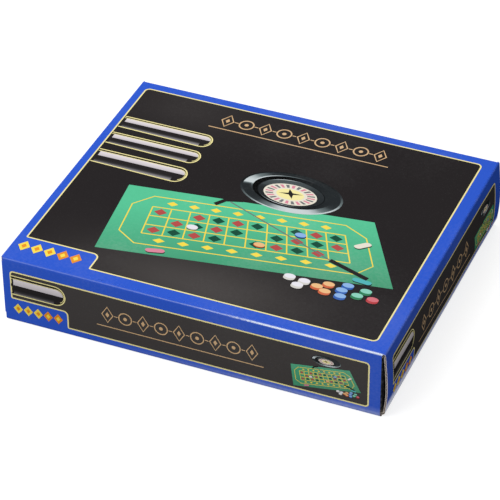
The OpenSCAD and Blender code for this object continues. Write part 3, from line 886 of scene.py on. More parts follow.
class Print:
    """Inks on one face: on(u, v, lift) gives the point, cell the size of mesh cell that its curve needs."""

    def __init__(self, name, on, cell):
        self.piece, self.on, self.cell = Piece(name, inks), on, cell

    def fill(self, loop, ink, lift, tone=None):
        us, vs = [p[0] for p in loop], [p[1] for p in loop]
        cuts = [("u", c) for c in steps(min(us), max(us), self.cell[0])]
        cuts += [("v", c) for c in steps(min(vs), max(vs), self.cell[1])]
        if tone:
            cuts += [("v", c) for c in steps(min(vs), max(vs), (max(vs) - min(vs)) / 8)]
        flat, faces, _ = cut_outline(loop, cuts)
        values = {"tone": [tone(u, v) for u, v in flat]} if tone else {}
        self.piece.add([self.on(u, v, lift) for u, v in flat], faces, ink, **values)

    def band(self, outer, inner, ink, lift, tone=None):
        """A line between two loops with the same number of points, cut where the face curves."""
        a, b = [], []
        n = len(outer)
        for k in range(n):
            p, q = outer[k], outer[(k + 1) % n]
            r, s = inner[k], inner[(k + 1) % n]
            m = max(1, round(max(abs(q[0] - p[0]) / self.cell[0], abs(q[1] - p[1]) / self.cell[1])))
            for j in range(m):
                t = j / m
                a.append((p[0] + (q[0] - p[0]) * t, p[1] + (q[1] - p[1]) * t))
                b.append((r[0] + (s[0] - r[0]) * t, r[1] + (s[1] - r[1]) * t))
        m = len(a)
        values = {"tone": [tone(u, v) for u, v in a + b]} if tone else {}
        self.piece.add([self.on(u, v, lift) for u, v in a + b],
                       [[k, (k + 1) % m, m + (k + 1) % m, m + k] for k in range(m)], ink, **values)

    def line(self, points, width, ink, lift, closed=False):
        """A line of even width, open or joined up at its ends."""
        if closed:
            points = points + points[:1]
        dense = [points[0]]
        for p, q in zip(points, points[1:]):
            m = max(1, round(max(abs(q[0] - p[0]) / self.cell[0], abs(q[1] - p[1]) / self.cell[1])))
            dense += [(p[0] + (q[0] - p[0]) * j / m, p[1] + (q[1] - p[1]) * j / m) for j in range(1, m + 1)]
        if closed:
            dense.pop()
        left, right = [], []
        m = len(dense)
        for k, p in enumerate(dense):
            a, b = ((dense[k - 1], dense[(k + 1) % m]) if closed else
                    (dense[max(0, k - 1)], dense[min(m - 1, k + 1)]))
            d = Vector((b[0] - a[0], b[1] - a[1])).normalized() * width / 2
            left.append((p[0] - d.y, p[1] + d.x))
            right.append((p[0] + d.y, p[1] - d.x))
        self.piece.add([self.on(u, v, lift) for u, v in left + right],
                       [[k + m, (k + 1) % m + m, (k + 1) % m, k] for k in range(m if closed else m - 1)], ink)

    def make(self, body):
        settle(self.piece.make(sharp=180), body, "printed_board")


def tongue(u0, v0, u1, v1, d, e):
    """Outline of a label from its upper left end round the right tip, drawn in by d and, at the tip, by e."""
    r = (v1 - v0) / 2 - d
    return ([(u0, v1 - d)] + arc(u1 - e - r, v1 - d - r, r, quarter, 0, 10)
            + arc(u1 - e - r, v0 + d + r, r, 0, -quarter, 10) + [(u0, v0 + d)])


def pill(art, u0, v0, u1, v1, line=0.9, widen=0.0):
    """A glossy label: gold double line round a silver to black shine, its lettering left off. Its lower side
    spreads towards the tip by widen."""
    size = v1 - v0

    def fan(loop):
        return [(u, v - widen * (u - u0) / (u1 - u0) * min(1.0, max(0.0, (v1 - v) / size)))
                for u, v in loop]
    art.fill(fan(tongue(u0, v0, u1, v1, 0.0, 0.0))[::-1], BLACK, 0.09)
    art.line(fan(tongue(u0, v0, u1, v1, line / 2, line / 2)), line, GOLD, 0.13)
    gap = size * 0.16
    art.line(fan(tongue(u0, v0, u1, v1, gap, line * 1.6)[:-4]), line * 0.6, GOLD, 0.12)
    inner0, inner1 = v0 + line * 1.1, v1 - gap - line * 0.45
    middle = inner0 + (inner1 - inner0) * 0.6

    def shine(u, v):
        t = (v - middle) / (inner1 - middle)
        return max(0.0, min(1.0, 0.82 + 0.18 * t))

    def glow(u, v):
        return max(0.0, 0.5 * (1 - (v - inner0) / (size * 0.26)))
    top = arc(u1 - line * 2.4 - (inner1 - middle), middle, inner1 - middle, quarter, 0, 10)
    art.fill(([(u0 + 2.4, inner1)] + top + [(u0 + 2.4, middle)])[::-1], PILL, 0.12, shine)
    art.fill(fan([(u0 + 2.4, inner0), (u1 - size * 0.55, inner0), (u1 - size * 0.55, inner0 + size * 0.24),
                  (u0 + 2.4, inner0 + size * 0.24)]), PILL, 0.11, glow)


def lozenges(art, u0, v0, count, size):
    """A row of plain lozenges in the corner field, yellow to orange, each with a small heart."""
    for k in range(count):
        u = u0 + k * size * 1.08
        for f, ink in ((1.0, (YELLOW, ORANGE)[k * 2 // count]), (0.45, (ORANGE, YELLOW)[k * 2 // count])):
            art.fill([(u - size / 2 * f, v0), (u, v0 - size * 0.62 * f), (u + size / 2 * f, v0),
                      (u, v0 + size * 0.62 * f)], ink, 0.1 + 0.03 * (f < 1))


def frieze(art, u0, u1, v0, v1, count, width):
    """Where the title stands: a band of rings and lozenges in fine line."""
    v, half = (v0 + v1) / 2, (v1 - v0) / 2
    pitch_ = (u1 - u0) / count
    for k in range(count):
        u = u0 + pitch_ * (k + 0.5)
        size = half * (1.0 if k % 2 == 0 else 0.72)
        if k % 2 == 0:
            loop = [(u - size * 0.62, v), (u, v - size), (u + size * 0.62, v), (u, v + size)]
            core = [(u - size * 0.22, v), (u, v - size * 0.36), (u + size * 0.22, v), (u, v + size * 0.36)]
            art.fill(core, PEACH, 0.11)
        else:
            loop = ellipse(u, v, size, size, n=24)
            art.fill(ellipse(u, v, size * 0.3, size * 0.3, n=12), PEACH, 0.11)
        art.line(loop, width, PEACH, 0.1, closed=True)
        reach = pitch_ - half * (0.62 + 0.72)
        if k < count - 1:
            start = u + (half * 0.62 if k % 2 == 0 else half * 0.72)
            art.line([(start + reach * 0.2, v), (start + reach * 0.8, v)], width * 0.8, PEACH, 0.1)


def ellipse(cu, cv, ru, rv, turn=0.0, n=40):
    pts = []
    for k in range(n):
        a = 2 * math.pi * k / n
        x, y = ru * math.cos(a), rv * math.sin(a)
        x, y = turned((x, y), turn)
        pts.append((cu + x, cv + y))
    return pts


def quad_point(q, s, t):
    """Point of a four-cornered field at fractions s along and t up."""
    low = (q[0][0] + (q[1][0] - q[0][0]) * s, q[0][1] + (q[1][1] - q[0][1]) * s)
    high = (q[3][0] + (q[2][0] - q[3][0]) * s, q[3][1] + (q[2][1] - q[3][1]) * s)
    return (low[0] + (high[0] - low[0]) * t, low[1] + (high[1] - low[1]) * t)


def bowl_picture(art, cu, cv, ru, rv, turn):
    """A dark dished dial seen from the side: shaded rings, a pale ring of wedges and a gilt star."""
    def ring(f, du=0.0, dv=0.0):
        return ellipse(cu + du * ru, cv + dv * rv, ru * f, rv * f, turn)

    def lit(strength, where, wide=1.0, base=0.0):
        def tone(u, v):
            a = math.atan2((v - cv) / rv, (u - cu) / ru)
            return max(0.0, min(1.0, base + strength * max(0.0, math.cos((a - where) / wide))))
        return tone
    art.fill(ring(1.0), BLACK, 0.16)
    art.band(ring(1.0), ring(0.955), BOWL, 0.17, lit(1.0, -1.2, 1.3, 0.15))
    art.band(ring(0.955), ring(0.8, 0, 0.03), BOWL, 0.18, lit(0.75, math.pi, 0.7, 0.3))
    art.band(ring(0.8, 0, 0.03), ring(0.765, 0, 0.03), BOWL, 0.19, lit(0.8, 3.0, 1.2, 0.3))
    art.band(ring(0.765, 0, 0.03), ring(0.64, 0, -0.03), BOWL, 0.2, lit(0.3, 0.3, 1.0))
    art.fill(ring(0.64, 0, -0.03), BOWL, 0.21, lit(0.3, 2.0, 1.5, 0.3))
    art.band(ring(0.66, 0, -0.03), ring(0.64, 0, -0.03), BOWL, 0.22, lit(0.9, 2.0, 0.6, 0.1))
    art.fill(ring(0.52, 0, -0.1), CREAM, 0.23)
    for k in range(24):
        a, b = 2 * math.pi * k / 24, 2 * math.pi * (k + 0.55) / 24
        wedge = [(cu + ru * f * math.cos(c), cv + rv * (f * math.sin(c) - 0.1)) for f, c in
                 ((0.33, a), (0.48, a), (0.48, b), (0.33, b))]
        art.fill(wedge, (PINK, GREY)[k % 2], 0.24)
    art.fill(ring(0.27, 0, -0.1), GOLD, 0.25)
    star = [(cu + ru * f * math.cos(a), cv + rv * (f * math.sin(a) - 0.06))
            for f, a in ((f, math.pi * k / 4 + 0.3) for k, f in enumerate((0.24, 0.06) * 4))]
    art.fill(star, BLACK, 0.26)


def disc(art, u, v, r, colour, lift, tall=0.55):
    """A coin-shaped counter seen from the side; colour counts from blue, as in the inks."""
    low = v - r * tall
    rim = ellipse(u, low, r, r * 0.58, n=20)
    art.fill(ellipse(u + r * 0.1, low - r * 0.16, r * 1.02, r * 0.6, n=20), BLACK, lift)
    art.fill(rim[10:] + [rim[0]] + [(u + r, v)] + [(u - r, v)], DISC_SIDES + colour, lift + 0.002)
    art.fill(ellipse(u, v, r, r * 0.58, n=20), DISC_FACES + colour, lift + 0.004)


def picture(art, field, dial, scale=1.0):
    """The set in plain shapes: a green cloth with a chequer of lozenges in an eight-sided border, a dished
    dial, counters in five colours, three markers and a stick."""
    def at(s, t):
        return quad_point(field, s, t)
    u0, v0 = field[0]

    def light(u, v):
        return max(0.0, min(1.0, scale ** 0.6 * (0.4 + ((v - v0) / 110 - (u - u0) / 480) / scale)))
    art.fill([at(0, 0), at(1, 0), at(1, 1), at(0, 1)], FELT, 0.09, light)
    w = 1.1 * scale ** 0.7
    border = [(0.05, 0.3), (0.12, 0.14), (0.88, 0.14), (0.95, 0.3), (0.95, 0.72), (0.88, 0.88), (0.12, 0.88),
              (0.05, 0.72)]
    art.line([at(*c) for c in border], w, YELLOW, 0.12, closed=True)
    left, right, low, high = 0.13, 0.87, 0.3, 0.72
    columns, rows = 10, 3
    for k in range(columns + 1):
        s = left + (right - left) * k / columns
        art.line([at(s, low), at(s, high)], w, YELLOW, 0.125)
    for k in range(rows + 1):
        t = low + (high - low) * k / rows
        art.line([at(left, t), at(right, t)], w, YELLOW, 0.13)
    for k in range(8):
        for t in (0.8, 0.22):
            s = 0.2 + 0.6 * k / 7
            art.fill([at(s - 0.022, t), at(s, t - 0.035), at(s + 0.022, t), at(s, t + 0.035)], YELLOW, 0.12)
    for i in range(columns):
        for j in range(rows):
            if (i * 3 + j * 2) % 5 == 2:
                continue
            s = left + (right - left) * (i + 0.5) / columns
            t = low + (high - low) * (j + 0.5) / rows
            ds, dt = (right - left) / columns * 0.34, (high - low) / rows * 0.36
            art.fill([at(s - ds, t), at(s, t - dt), at(s + ds, t), at(s, t + dt)],
                     (RED, DEEP_GREEN)[(i + j) % 2], 0.12)
    bowl_picture(art, *dial)
    r = 5.0 * scale
    for s, t, colour in ((0.3, 0.5, 3), (0.55, 0.38, 1), (0.7, 0.62, 0)):
        disc(art, *at(s, t), r, colour, 0.14, 0.2)
    heap = [(0.66, -0.02, 3), (0.72, -0.06, 3), (0.69, -0.13, 3), (0.77, -0.11, 1), (0.82, -0.06, 1),
            (0.8, -0.17, 1), (0.87, -0.12, 0), (0.9, -0.04, 0), (0.86, -0.21, 0), (0.93, -0.17, 2),
            (0.97, -0.09, 2), (0.99, -0.2, 4)]
    for k, (s, t, colour) in enumerate(sorted(heap, key=lambda h: -h[1])):
        disc(art, *at(0.66 + (s - 0.66) * 0.8, t), r, colour, 0.15 + 0.008 * k)
    for (s, t), ink, turn in (((0.9, 0.05), TURQUOISE, -0.1), ((0.2, 0.07), PINK, 0.35),
                              ((0.93, 0.6), CREAM, 0.9)):
        cu, cv = at(s, t)
        flat = rounded(-8.5 * scale, -3.6 * scale, 8.5 * scale, 3.6 * scale, 3.4 * scale)
        long_ = [(cu + x, cv + y * 0.7) for x, y in (turned(c, turn) for c in flat)]
        art.fill([(u + 0.6 * scale, v - 1.1 * scale) for u, v in long_], BLACK, 0.14)
        art.fill(long_, ink, 0.15)
    art.line([at(0.42, 0.97), at(0.8, 0.3)], 1.1 * scale ** 0.6, GREY, 0.2)
    art.line([at(0.8, 0.3), at(0.92, 0.09)], 4.2 * scale, BLACK, 0.21)
    art.line([at(0.36, 0.9), at(0.4, 0.99), at(0.47, 1.02)], 4.4 * scale, BLACK, 0.21)


def print_top():
    art = Print("top_print", on_top, (17.0, 22.0))
    spec = (-162.0, -130.5, 158.0, 133.0, 5.0, -95.0, -110.5, 5.0)

    # Painted sheen: the black panel is lightened in a soft patch near the front middle and a weaker one at the
    # back left.
    def haze(x, y):
        near = 0.46 * math.exp(-((x + 5) / 95) ** 2 - ((y + 116) / 38) ** 2)
        return near + 0.17 * math.exp(-((x + 110) / 60) ** 2 - ((y - 120) / 40) ** 2)
    art.fill(notched(*spec), BLACK, 0.05, haze)
    art.band(notched(*spec), notched(*spec, d=1.3), GOLD, 0.09)
    for v0, v1 in ((67.0, 84.8), (40.5, 58.2), (9.8, 30.5)):
        pill(art, -160.0, v0, -72.5, v1, 1.15, 2.4)
    art.line([(-86, 98.0), (83, 98.0)], 1.1, PEACH, 0.1)
    frieze(art, -82, 80, 102.5, 120.5, 9, 1.3)
    field = [(-103.1, -101.4), (146.1, -61.5), (100.5, 18.2), (-113.5, -9.9)]
    picture(art, field, (20, 31, 46.5, 27.5, -0.03))
    lozenges(art, -158, -122.0, 5, 11.0)
    art.make("carton")


def print_side(name, on, body, left, right, notch, low, high):
    wall = body == "carton"
    art = Print(name, on, (17.0, 8.0) if wall else (5.5, 2.2))
    spec = (left, low, right, high, 3.5, notch, 24.0, 3.0)
    # Painted sheen: the black panel is lighter on the walls, and a little lighter on the ends.
    art.fill(notched(*spec), BLACK, 0.05, lambda u, v: 0.39 if wall else 0.26)
    art.band(notched(*spec), notched(*spec, d=1.3), GOLD, 0.09)
    pill(art, left + 0.6, 28.5, notch - 0.5, 48.5)
    title = (-83, 66) if wall else (-65, 64)
    art.line([(title[0], 20.5), (title[1], 20.5)], 0.9, PEACH, 0.1)
    frieze(art, title[0] + 2, title[1] - 2, 25.0, 41.0, 9 if wall else 7, 1.0)
    if wall:
        picture(art, [(92, 10), (150, 20), (140, 40), (89.5, 32)], (120, 43.5, 12.5, 5.0, 0.0), 0.28)
    else:
        picture(art, [(79.5, 13), (127, 16), (124, 33), (75.5, 30)], (103, 42.5, 11.5, 4.8, 0.0), 0.28)
    lozenges(art, left + 6.0, 14.5 if wall else 17.0, 5, 8.6)
    art.make(body)


# Inside: plastics, metals, felt

def metal(name, colour, gloss):
    return plastic(name, colour, gloss, 0.4, 0.05, 700.0, metallic=1.0, relief=0.1)


def felt_cloth(name, colour):
    """Pressed wool: short crossed fibres, soft clouds and a dull nap."""
    material, tree, shader = new_material(name, roughness=0.95, specular=0.1)
    shader.inputs["Sheen Weight"].default_value = 0.35
    shader.inputs["Sheen Roughness"].default_value = 0.5
    at = put(tree, "ShaderNodeTexCoord").outputs["Object"]
    one = put(tree, "ShaderNodeMapping", {"Vector": at, "Scale": (2600, 700, 2600)}).outputs[0]
    two = put(tree, "ShaderNodeMapping", {"Vector": at, "Scale": (800, 2500, 2500),
                                          "Rotation": (0, 0, 0.6)}).outputs[0]
    nap = sums(tree, "MAXIMUM", noise(tree, one, 1.0, 2.0), noise(tree, two, 1.0, 2.0))
    cloud = noise(tree, at, 22.0, 3.0)
    tone = sums(tree, "ADD", sums(tree, "MULTIPLY", nap, 0.7), sums(tree, "MULTIPLY", cloud, 0.3))
    dark = tuple(c * 0.45 for c in colour[:3]) + (1.0,)
    light = tuple(min(1.0, c * 1.35) for c in colour[:3]) + (1.0,)
    tree.links.new(blend_colours(tree, ramp(tree, tone, 0.36, 0.72), dark, light),
                   shader.inputs["Base Color"])
    bump(tree, shader, nap, 0.6, 0.0004)
    return material


bowl_black = plastic("bowl_black_plastic", srgb(20, 20, 22), 0.2, 0.35, 0.01, 1200.0, coat=0.3)
rotor_black = plastic("rotor_black_plastic", srgb(24, 24, 26), 0.28, 0.4, 0.015, 1200.0)
ring_black = plastic("ring_black_plastic", srgb(28, 27, 28), 0.32, 0.4, 0.015, 1500.0)
cone_ivory = plastic("cone_ivory_plastic", srgb(222, 206, 160), 0.3, 0.4, 0.03, 900.0, coat=0.2)
tray_grey = plastic("tray_flocked_grey", srgb(58, 58, 62), 0.72, 1.0, 0.06, 2200.0)
gilt = metal("gilt_plating", srgb(226, 186, 92), 0.22)
steel = metal("bright_steel", srgb(196, 198, 200), 0.24)
ball_white = plastic("ball_white", srgb(238, 234, 222), 0.18, 0.2, 0.02, 600.0, coat=0.4)
grip_black = plastic("grip_black_plastic", srgb(20, 20, 22), 0.34, 0.8, 0.02, 1600.0)
platform_grey = raw_board("platform_greyboard", srgb(150, 140, 124), 0.7, 0.8)
felt_green = felt_cloth("felt_green", srgb(38, 124, 84))
pocket_red = plastic("pocket_red", srgb(176, 30, 34), 0.35, 0.3, 0.04, 1500.0)
pocket_black = plastic("pocket_black", srgb(24, 22, 24), 0.35, 0.3, 0.06, 1500.0)
pocket_green = plastic("pocket_green", srgb(24, 116, 62), 0.35, 0.3, 0.04, 1500.0)
numeral_white = plastic("numeral_white", srgb(236, 230, 214), 0.4, 0.3, 0.02, 1500.0)
stripe_cream = plastic("chip_stripe_cream", srgb(232, 226, 206), 0.38, 0.5, 0.02, 1300.0)
stripe_grey = plastic("chip_stripe_grey", srgb(96, 98, 108), 0.38, 0.5, 0.02, 1300.0)


def dress(material, *names):
    """Gives the nodes that are shown as built their finish."""
    for name in names:
        mesh = nodes[name].data
        mesh.materials.clear()
        mesh.materials.append(material)


def bounds_mm(name):
    low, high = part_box(name)
    return [c / mm for c in low], [c / mm for c in high]


wheel_x = -34.0
pockets = 37
ring_low, ring_root, pocket_floor = 20.6, 54.2, 17.6
wheel_order = [0, 32, 15, 19, 4, 21, 2, 25, 17, 34, 6, 27, 13, 36, 11, 30, 8, 23, 10, 5, 24, 16, 33, 1, 20,
               14, 31, 9, 22, 18, 29, 7, 28, 12, 35, 3, 26]
red_numbers = {1, 3, 5, 7, 9, 12, 14, 16, 18, 19, 21, 23, 25, 27, 30, 32, 34, 36}


def numeral(value):
    """Flat shape of a number, 1 high, centred: its points and faces."""
    curve = bpy.data.curves.new("numeral", "FONT")
    curve.body = str(value)
    curve.align_x = "CENTER"
    curve.resolution_u = 3
    holder = bpy.data.objects.new("numeral", curve)
    bpy.context.scene.collection.objects.link(holder)
    graph = bpy.context.evaluated_depsgraph_get()
    mesh = bpy.data.meshes.new_from_object(holder.evaluated_get(graph))
    points = [(v.co.x, v.co.y) for v in mesh.vertices]
    faces = [list(f.vertices) for f in mesh.polygons]
    bpy.data.objects.remove(holder)
    bpy.data.curves.remove(curve)
    bpy.data.meshes.remove(mesh)
    low, high = min(p[1] for p in points), max(p[1] for p in points)
    return [(x / (high - low), (y - low) / (high - low) - 0.5) for x, y in points], faces


def ring_top(r):
    return ring_low + (r - ring_root) / 15.2 * 2.4


def make_number_ring():
    """Coloured fields with plain numbers on the ring, and coloured floors in the pockets."""
    piece = Piece("number_fields", [pocket_red, pocket_black, pocket_green, numeral_white, gilt])
    step = 2 * math.pi / pockets
    size, middle = 6.2, 62.4
    for k, value in enumerate(wheel_order):
        look = 2 if value == 0 else (0 if value in red_numbers else 1)
        a = step * (k + 0.5)
        for r0, r1, top, gap, n in ((55.2, 68.6, ring_top, 0.35, 4),
                                    (40.4, 53.8, lambda r: pocket_floor, 0.75, 3)):
            points, faces = [], []
            for j in range(n + 1):
                for r in (r0, r1):
                    half = step / 2 - gap / r
                    b = a - half + 2 * half * j / n
                    points.append((wheel_x + r * math.cos(b), r * math.sin(b), top(r) + 0.06))
            faces = [[2 * j, 2 * j + 1, 2 * j + 3, 2 * j + 2] for j in range(n)]
            piece.add(points, faces, look)
        flat, shapes = numeral(value)
        points = []
        for u, v in flat:
            across, out = u * size * 0.9, middle - v * size
            turn = a + across / middle
            points.append((wheel_x + out * math.cos(turn), out * math.sin(turn), ring_top(out) + 0.14))
        piece.add(points, shapes, 3)
    for r0, r1 in ((54.5, 54.9), (68.9, 69.3)):
        points = []
        for j in range(111):
            b = 2 * math.pi * j / 111
            points += [(wheel_x + r * math.cos(b), r * math.sin(b), ring_top(r) + 0.08) for r in (r0, r1)]
        piece.add(points, [[2 * j, 2 * j + 1, (2 * j + 3) % 222, (2 * j + 2) % 222] for j in range(111)], 4)
    settle(piece.make(), "rotor", "number_plastic")


def spun(profile, n, place):
    """Points and faces of a turned shape: profile is (radius, height); place maps (x, y, height)."""
    points, faces = [], []
    for k in range(n):
        a = 2 * math.pi * k / n
        for r, h in profile:
            points.append(place(r * math.cos(a), r * math.sin(a), h))
    m = len(profile)
    for k in range(n):
        j = (k + 1) % n
        for i in range(m - 1):
            if profile[i][0] < 1e-6:
                faces.append([k * m + i, k * m + i + 1, j * m + i + 1])
            elif profile[i + 1][0] < 1e-6:
                faces.append([k * m + i, k * m + i + 1, j * m + i])
            else:
                faces.append([k * m + i, k * m + i + 1, j * m + i + 1, j * m + i])
    return points, faces


def make_chips(name, colour, face_colour):
    """A row of chips on edge: recessed faces, chamfered rims, cream edge stripes, none quite in line."""
    low, high = bounds_mm(name)
    count = max(1, round((high[1] - low[1]) / 2.2))
    thick = (high[1] - low[1]) / count
    cx, cz, r = (low[0] + high[0]) / 2, (low[2] + high[2]) / 2, (high[0] - low[0]) / 2
    body = plastic(name + "_plastic", colour, 0.36, 0.5, 0.06, 1300.0)
    face = plastic(name + "_face_plastic", face_colour, 0.42, 0.5, 0.05, 1300.0)
    piece = Piece(name + "_row", [body, stripe_grey if name == "chips_white" else stripe_cream, face])
    rng = random.Random(len(name) * 17 + count)
    n = 48
    t = thick - 0.04
    profile = [(0.0, 0.22), (r - 3.6, 0.22), (r - 3.3, 0.02), (r - 0.35, 0.02), (r - 0.05, 0.36),
               (r - 0.05, t - 0.34), (r - 0.35, t), (r - 3.3, t), (r - 3.6, t - 0.2), (0.0, t - 0.2)]
    for k in range(count):
        turn = rng.random() * 6.283
        dx, dz = rng.uniform(-0.12, 0.12), rng.uniform(-0.1, 0.12)
        y0 = low[1] + k * thick

        def place(u, v, h):
            u, v = turned((u, v), turn)
            return (cx + dx + u, y0 + h, cz + dz + v)
        points, faces = spun(profile, n, place)
        start = len(piece.faces)
        piece.add(points, faces, 0)
        m = len(profile) - 1
        for i in range(n * m):
            sector, ring = i // m, i % m
            if ring in (0, 8):
                piece.looks[start + i] = 2
            elif sector % 6 < 2 and 2 <= ring <= 6:
                piece.looks[start + i] = 1
    settle(piece.make(), "carton", "chip_" + name.split("_")[1], name)


def make_plaques(name, colour):
    """Three oblong plaques in a pile: rounded edges and a gilt frame line on each."""
    low, high = bounds_mm(name)
    body = plastic(name + "_plastic", colour, 0.25, 0.3, 0.04, 500.0, coat=0.35)
    piece = Piece(name + "_pile", [body, gilt])
    rng = random.Random(len(name))
    thick = (high[2] - low[2]) / 3
    for k in range(3):
        dx, dy, turn = rng.uniform(-0.25, 0.25), rng.uniform(-0.15, 0.15), rng.uniform(-0.006, 0.006)
        cx, cy = (low[0] + high[0]) / 2 + dx, (low[1] + high[1]) / 2 + dy
        half_x, half_y = (high[0] - low[0]) / 2 - 0.3, (high[1] - low[1]) / 2 - 0.25
        z0 = low[2] + k * thick

        def loop(d, z):
            pts = rounded(-half_x + d, -half_y + d, half_x - d, half_y - d, 2.6 - min(d, 2.0))
            return [(cx + u, cy + v, z) for u, v in (turned(p, turn) for p in pts)]
        rings = [loop(d, z0 + h) for d, h in ((0.35, 0.02), (0.08, 0.2), (0.0, 0.5), (0.0, thick - 0.5),
                                              (0.08, thick - 0.2), (0.35, thick - 0.03))]
        m = len(rings[0])
        start = piece.add([p for ring in rings for p in ring], [])
        for i in range(len(rings) - 1):
            for j in range(m):
                q = (j + 1) % m
                piece.faces.append([start + i * m + j, start + i * m + q, start + (i + 1) * m + q,
                                    start + (i + 1) * m + j])
                piece.looks.append(0)
        piece.faces += [[start + j for j in range(m)][::-1], [start + 5 * m + j for j in range(m)]]
        piece.looks += [0, 0]
        a, b = loop(1.6, z0 + thick), loop(1.9, z0 + thick)
        piece.add(a + b, [[j, (j + 1) % m, m + (j + 1) % m, m + j] for j in range(m)], 1)
    settle(piece.make(), "carton", "plaque_" + name.split("_")[1], name)


def make_grip():
    """Turned grip of the rake: a rounded end, three grooves and a neck where the rod goes in."""
    low, high = bounds_mm("rake_grip")
    cx, cz, r = (low[0] + high[0]) / 2, (low[2] + high[2]) / 2, (high[0] - low[0]) / 2
    length = high[1] - low[1]
    profile = [(0.0, 0.0), (1.9, 0.0), (2.6, 0.5), (3.1, 2.0), (r * 0.78, 5.0), (r * 0.86, 9.0)]
    for g in (11.0, 14.0, 17.0):
        profile += [(r * 0.88, g - 0.7), (r * 0.76, g - 0.25), (r * 0.76, g + 0.25), (r * 0.89, g + 0.7)]
    profile += [(r * 0.94, 24.0), (r - 0.03, 40.0), (r - 0.03, 60.0), (r * 0.93, length - 9)]
    profile += [(r * 0.93 * math.cos(a), length - 5 + 5 * math.sin(a)) for a in
                [quarter * k / 7 for k in range(0, 7)]] + [(0.0, length)]
    piece = Piece("rake_grip_turned", [grip_black])
    points, faces = spun(profile, 40, lambda u, v, h: (cx + u, low[1] + h, cz + v))
    piece.add(points, faces, 0)
    settle(piece.make(sharp=50), "carton", "black_plastic", "rake_grip")


def make_turret():
    """Turned post with a ringed waist and a finial, and four turned arms with knobs."""
    low, high = bounds_mm("turret")
    rise = high[2] - low[2]
    piece = Piece("turret_turned", [gilt])
    post = [(0, 0), (1, 0), (1, 0.035), (0.95, 0.06), (0.8, 0.085), (0.64, 0.13), (0.54, 0.2), (0.49, 0.3),
            (0.5, 0.37), (0.6, 0.39), (0.72, 0.42), (0.79, 0.46), (0.8, 0.52), (0.79, 0.57), (0.7, 0.61),
            (0.55, 0.635), (0.44, 0.68), (0.36, 0.74), (0.35, 0.79), (0.45, 0.82), (0.54, 0.86), (0.56, 0.9),
            (0.52, 0.94), (0.4, 0.975), (0.2, 0.995), (0, 1)]
    points, faces = spun([(r * 5.8, h * rise) for r, h in post], 48,
                         lambda u, v, h: (wheel_x + v, u, low[2] + h))
    piece.add(points, faces)
    reach = 24.2
    arm = [(0, 0), (1.5, 0), (1.25, 4), (1.05, 10), (1.1, 17), (1.3, reach - 2.6), (1.75, reach - 2.2),
           (1.75, reach - 1.7), (1.25, reach - 1.2), (1.5, reach - 0.8), (2.3, reach - 0.3),
           (2.75, reach + 0.5), (2.8, reach + 1.2), (2.6, reach + 1.9), (2.0, reach + 2.55),
           (1.0, reach + 2.95), (0, reach + 3.0)]
    for k in range(4):
        a = quarter * (k + 0.5)
        along, across = Vector((math.cos(a), math.sin(a), 0)), Vector((-math.sin(a), math.cos(a), 0))
        root = Vector((wheel_x, 0, low[2] + 0.52 * rise)) + along * 2.9
        points, faces = spun(arm, 28, lambda u, v, h: root + along * h + across * v + Vector((0, 0, u)))
        piece.add(points, faces)
    settle(piece.make(sharp=40), "rotor", "gold_plastic", "turret")


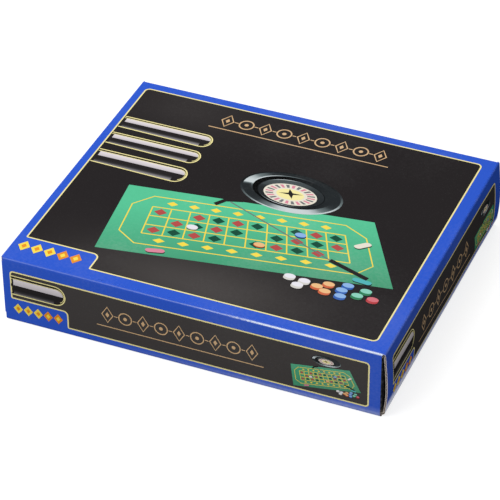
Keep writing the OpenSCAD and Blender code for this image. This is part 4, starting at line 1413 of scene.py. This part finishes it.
def make_cloth():
    """The playing cloth: one felt sheet folded in three, each layer lying on the one below."""
    low, high = bounds_mm("layout_cloth")
    thin = 1.15
    gap = (high[2] - low[2] - thin - 0.3) / 2
    z0 = low[2] + thin / 2 + 0.1
    y0, y1 = low[1] + gap / 2 + thin / 2 + 0.4, high[1] - gap / 2 - thin / 2 - 0.4
    path = Path((y0, z0), 0.0).run(y1 - y0 - 2.0).bend(gap / 2, math.pi).run(y1 - y0 - 3.5)
    path.bend(gap / 2, -math.pi).run(y1 - y0 - 2.6)
    length = path.length
    x0, x1 = low[0] + 0.6, high[0] - 0.6
    rows = [length * k / 300 for k in range(301)]
    columns = [x0 + (x1 - x0) * k / 44 for k in range(45)]
    points = []
    for s in rows:
        (y, z), _ = path.point(s)
        for x in columns:
            wave = 0.11 * math.sin(x / 17 + s / 29) + 0.07 * math.sin(x / 6.1 - s / 13)
            points.append((x + 0.35 * math.sin(s / 60), y, z + wave))
    n = len(columns)
    faces = [[i * n + j, i * n + j + 1, (i + 1) * n + j + 1, (i + 1) * n + j]
             for i in range(len(rows) - 1) for j in range(n - 1)]
    piece = Piece("folded_cloth", [felt_green])
    piece.add(points, faces)
    obj = piece.make(sharp=180)
    solid = obj.modifiers.new("thickness", "SOLIDIFY")
    solid.thickness, solid.offset = thin * mm, 0.0
    graph = bpy.context.evaluated_depsgraph_get()
    thick = bpy.data.meshes.new_from_object(obj.evaluated_get(graph))
    obj.modifiers.clear()
    obj.data = thick
    settle(obj, "carton", "felt", "layout_cloth")


# Build

add_camera()
add_world()
add_floor()
add_lamp("key", (-1.3, -1.9, 2.7), (0, 0, 0.03), (2.2, 2.2), 86)
add_lamp("back_fill", (-0.6, 2.2, 2.2), (0, 0, 0.03), (2.0, 1.5), 34)

make_sleeve()
for side_, end_ in ((1, "right"), (-1, "left")):
    make_end(side_, end_ + "_end")
    for depth_, wall_ in ((-1, "front"), (1, "back")):
        make_dust_flap(side_, depth_, f"{end_}_{wall_}_dust")
print_top()
for name_, on_ in (("front", on_front), ("back", on_back)):
    print_side(name_ + "_print", on_, "carton", -162, 157, -110.5, 7, 53)
for side_, end_ in ((1, "right"), (-1, "left")):
    print_side(end_ + "_print", on_end(side_), end_ + "_end", -129, 129, -77, 10.5, 53.5)

dress(platform_grey, "platform_deck", "platform_front_leg", "platform_back_leg")
dress(steel, "spindle_pin", "rake_rod")
for material_, name_ in ((bowl_black, "wheel_bowl"), (rotor_black, "rotor_plate"),
                         (ring_black, "number_ring"), (cone_ivory, "rotor_cone"), (tray_grey, "chip_tray"),
                         (ball_white, "ball"), (grip_black, "rake_head")):
    dress(material_, name_)
make_number_ring()
for name_, rim_, face_ in (("chips_blue", (28, 78, 168), (46, 98, 186)),
                           ("chips_orange", (214, 104, 40), (226, 126, 60)),
                           ("chips_white", (222, 220, 214), (232, 230, 226)),
                           ("chips_green", (26, 116, 74), (44, 134, 92)),
                           ("chips_red", (176, 34, 42), (194, 56, 62))):
    make_chips(name_, srgb(*rim_), srgb(*face_))
for name_, colour_ in (("plaques_turquoise", (72, 178, 184)), ("plaques_cream", (232, 222, 190)),
                       ("plaques_pink", (228, 146, 168))):
    make_plaques(name_, srgb(*colour_))
make_grip()
make_turret()
make_cloth()

bpy.context.scene.view_settings.view_transform = "Standard"
